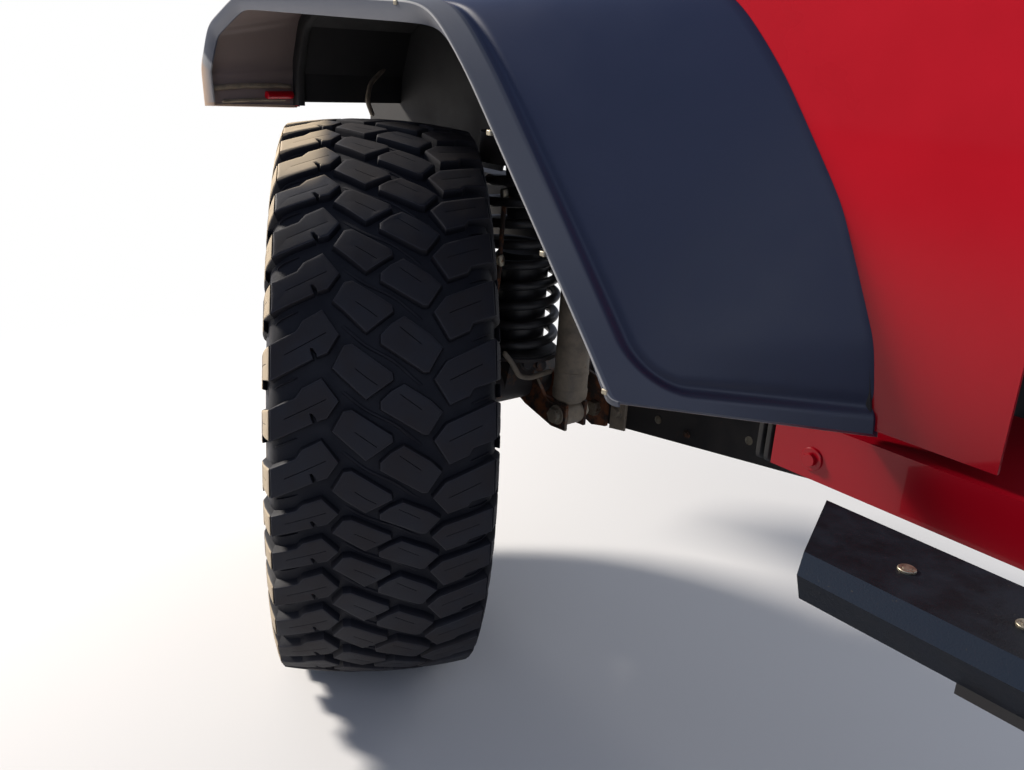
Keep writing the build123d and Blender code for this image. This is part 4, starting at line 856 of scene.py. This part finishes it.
plates = {
    # outline and spine are forward and up, and faces are outboard
    "damper_foot_outer": {
        "outline": [(-122, -58), (-86, -60), (-14, -42), (12, -30), (8, 18), (-36, 18), (-62, -10),
                    (-78, -18), (-122, -18)],
        "spine": [(-104, -38), (-60, -32), (-12, -22), (-12, 4)],
        "faces": (543.4, 550.6), "finish": "rusty_steel"},
    "arm_strap": {
        "outline": [(-165, -64), (-129, -70), (-129, -10), (-165, -2)],
        "spine": [(-150, -45), (-146, -45), (-146, -22)],
        "faces": (444, 450), "finish": "damper_paint"},
}
for name, piece in plates.items():
    plate(name, piece["outline"], piece["spine"], *piece["faces"], "vehicle_side", piece["finish"])
print("small pieces made")

# the camera stands behind the wheel and outboard of it: metres in the row frame, and unit ways
view = {
    "lens": 34.13, "sensor": 36.0, "near": 0.02,
    "place": (-0.1367, 1.2091, 0.3800),
    "right": (-0.6273, -0.7766, 0.0590), "top": (0.2935, -0.1655, 0.9415), "look": (0.7214, -0.6079, -0.3318),
}
camera = bpy.data.objects.new("camera", bpy.data.cameras.new("camera"))
camera.data.lens = view["lens"]
camera.data.sensor_width = view["sensor"]
camera.data.clip_start = view["near"]
turn = Matrix((view["right"], view["top"], -Vector(view["look"]))).transposed().to_4x4()
camera.matrix_world = Matrix.Translation(view["place"]) @ turn
bpy.context.scene.collection.objects.link(camera)
bpy.context.scene.camera = camera

lights = {
    # place in the row frame, size in metres, watts, colour
    "key": ((4.3, 1.9, 2.3), 0.7, 330.0, "#fff7ec"),
    "fill": ((-2.2, 3.0, 2.4), 2.6, 30.0, "#dbe6ff"),
    "back": ((0.2, -2.6, 2.2), 2.6, 30.0, "#ffffff"),
}
target = Vector((1.0, 0.35, -0.05))
for name, (spot, size, watts, colour) in lights.items():
    lamp = bpy.data.lights.new(name, "AREA")
    lamp.size, lamp.energy, lamp.color = size, watts, linear(colour)[:3]
    lampObject = bpy.data.objects.new(name, lamp)
    turn = (target - Vector(spot)).to_track_quat("-Z", "Y").to_matrix().to_4x4()
    lampObject.matrix_world = Matrix.Translation(spot) @ turn
    bpy.context.scene.collection.objects.link(lampObject)

# the sky is plain white to the camera, pale blue and dim as a light, and between the two in reflections
sky = {"colour": "#d3def8", "strength": 0.24, "reflected": 0.3}
world = bpy.data.worlds.new("studio")
world.use_nodes = True
bpy.context.scene.world = world
tree = world.node_tree
ray = add(tree, "LightPath").outputs
seen = add(tree, "Math", {0: ray["Is Glossy Ray"], 1: sky["reflected"], 2: ray["Is Camera Ray"]},
           operation="MULTIPLY_ADD")
strength = add(tree, "MapRange", {"Value": seen.outputs["Value"], "To Min": sky["strength"], "To Max": 1.0})
colour = add(tree, "Mix", {"Factor": ray["Is Camera Ray"], 6: linear(sky["colour"]), 7: linear("#ffffff")},
             data_type="RGBA")
tree.links.new(colour.outputs[2], tree.nodes["Background"].inputs["Color"])
tree.links.new(strength.outputs["Result"], tree.nodes["Background"].inputs["Strength"])

# matt paper underfoot, which runs out into the white backdrop away from the part
ground = {
    "height": -0.6201, "half": 14, "paper": "#dededf", "rough": 0.9,
    "middle": (0.9, 0.3), "fade": (0.9, 2.4),  # in metres, and it fades between two distances from there
}
far = ground["half"]
corners = [(x, y, ground["height"]) for x, y in ((-far, -far), (far, -far), (far, far), (-far, far))]
floorMesh = bpy.data.meshes.new("floor")
floorMesh.from_pydata(corners, [], [(0, 1, 2, 3)])
floor = bpy.data.objects.new("floor", floorMesh)
bpy.context.scene.collection.objects.link(floor)
floorPaint = bpy.data.materials.new("studio_floor")
floorPaint.use_nodes = True
tree = floorPaint.node_tree
paper = tree.nodes["Principled BSDF"]
paper.inputs["Base Color"].default_value = linear(ground["paper"])
paper.inputs["Roughness"].default_value = ground["rough"]
place = add(tree, "TexCoord").outputs["Object"]
away = add(tree, "VectorMath", {0: place, 1: (*ground["middle"], ground["height"])}, operation="DISTANCE")
start, end = ground["fade"]
past = add(tree, "MapRange", {"Value": away.outputs["Value"], "From Min": start, "From Max": end},
           interpolation_type="SMOOTHSTEP")
seen = add(tree, "Math", {0: past.outputs["Result"], 1: add(tree, "LightPath").outputs["Is Camera Ray"]},
           operation="MULTIPLY")
white = add(tree, "Emission", {"Color": linear("#ffffff"), "Strength": 1.0})
blend = add(tree, "MixShader", {
    0: seen.outputs["Value"], 1: paper.outputs["BSDF"], 2: white.outputs["Emission"]})
tree.links.new(blend.outputs["Shader"], tree.nodes["Material Output"].inputs["Surface"])
floorMesh.materials.append(floorPaint)
bpy.context.scene.view_settings.view_transform = "Standard"
print("studio made")
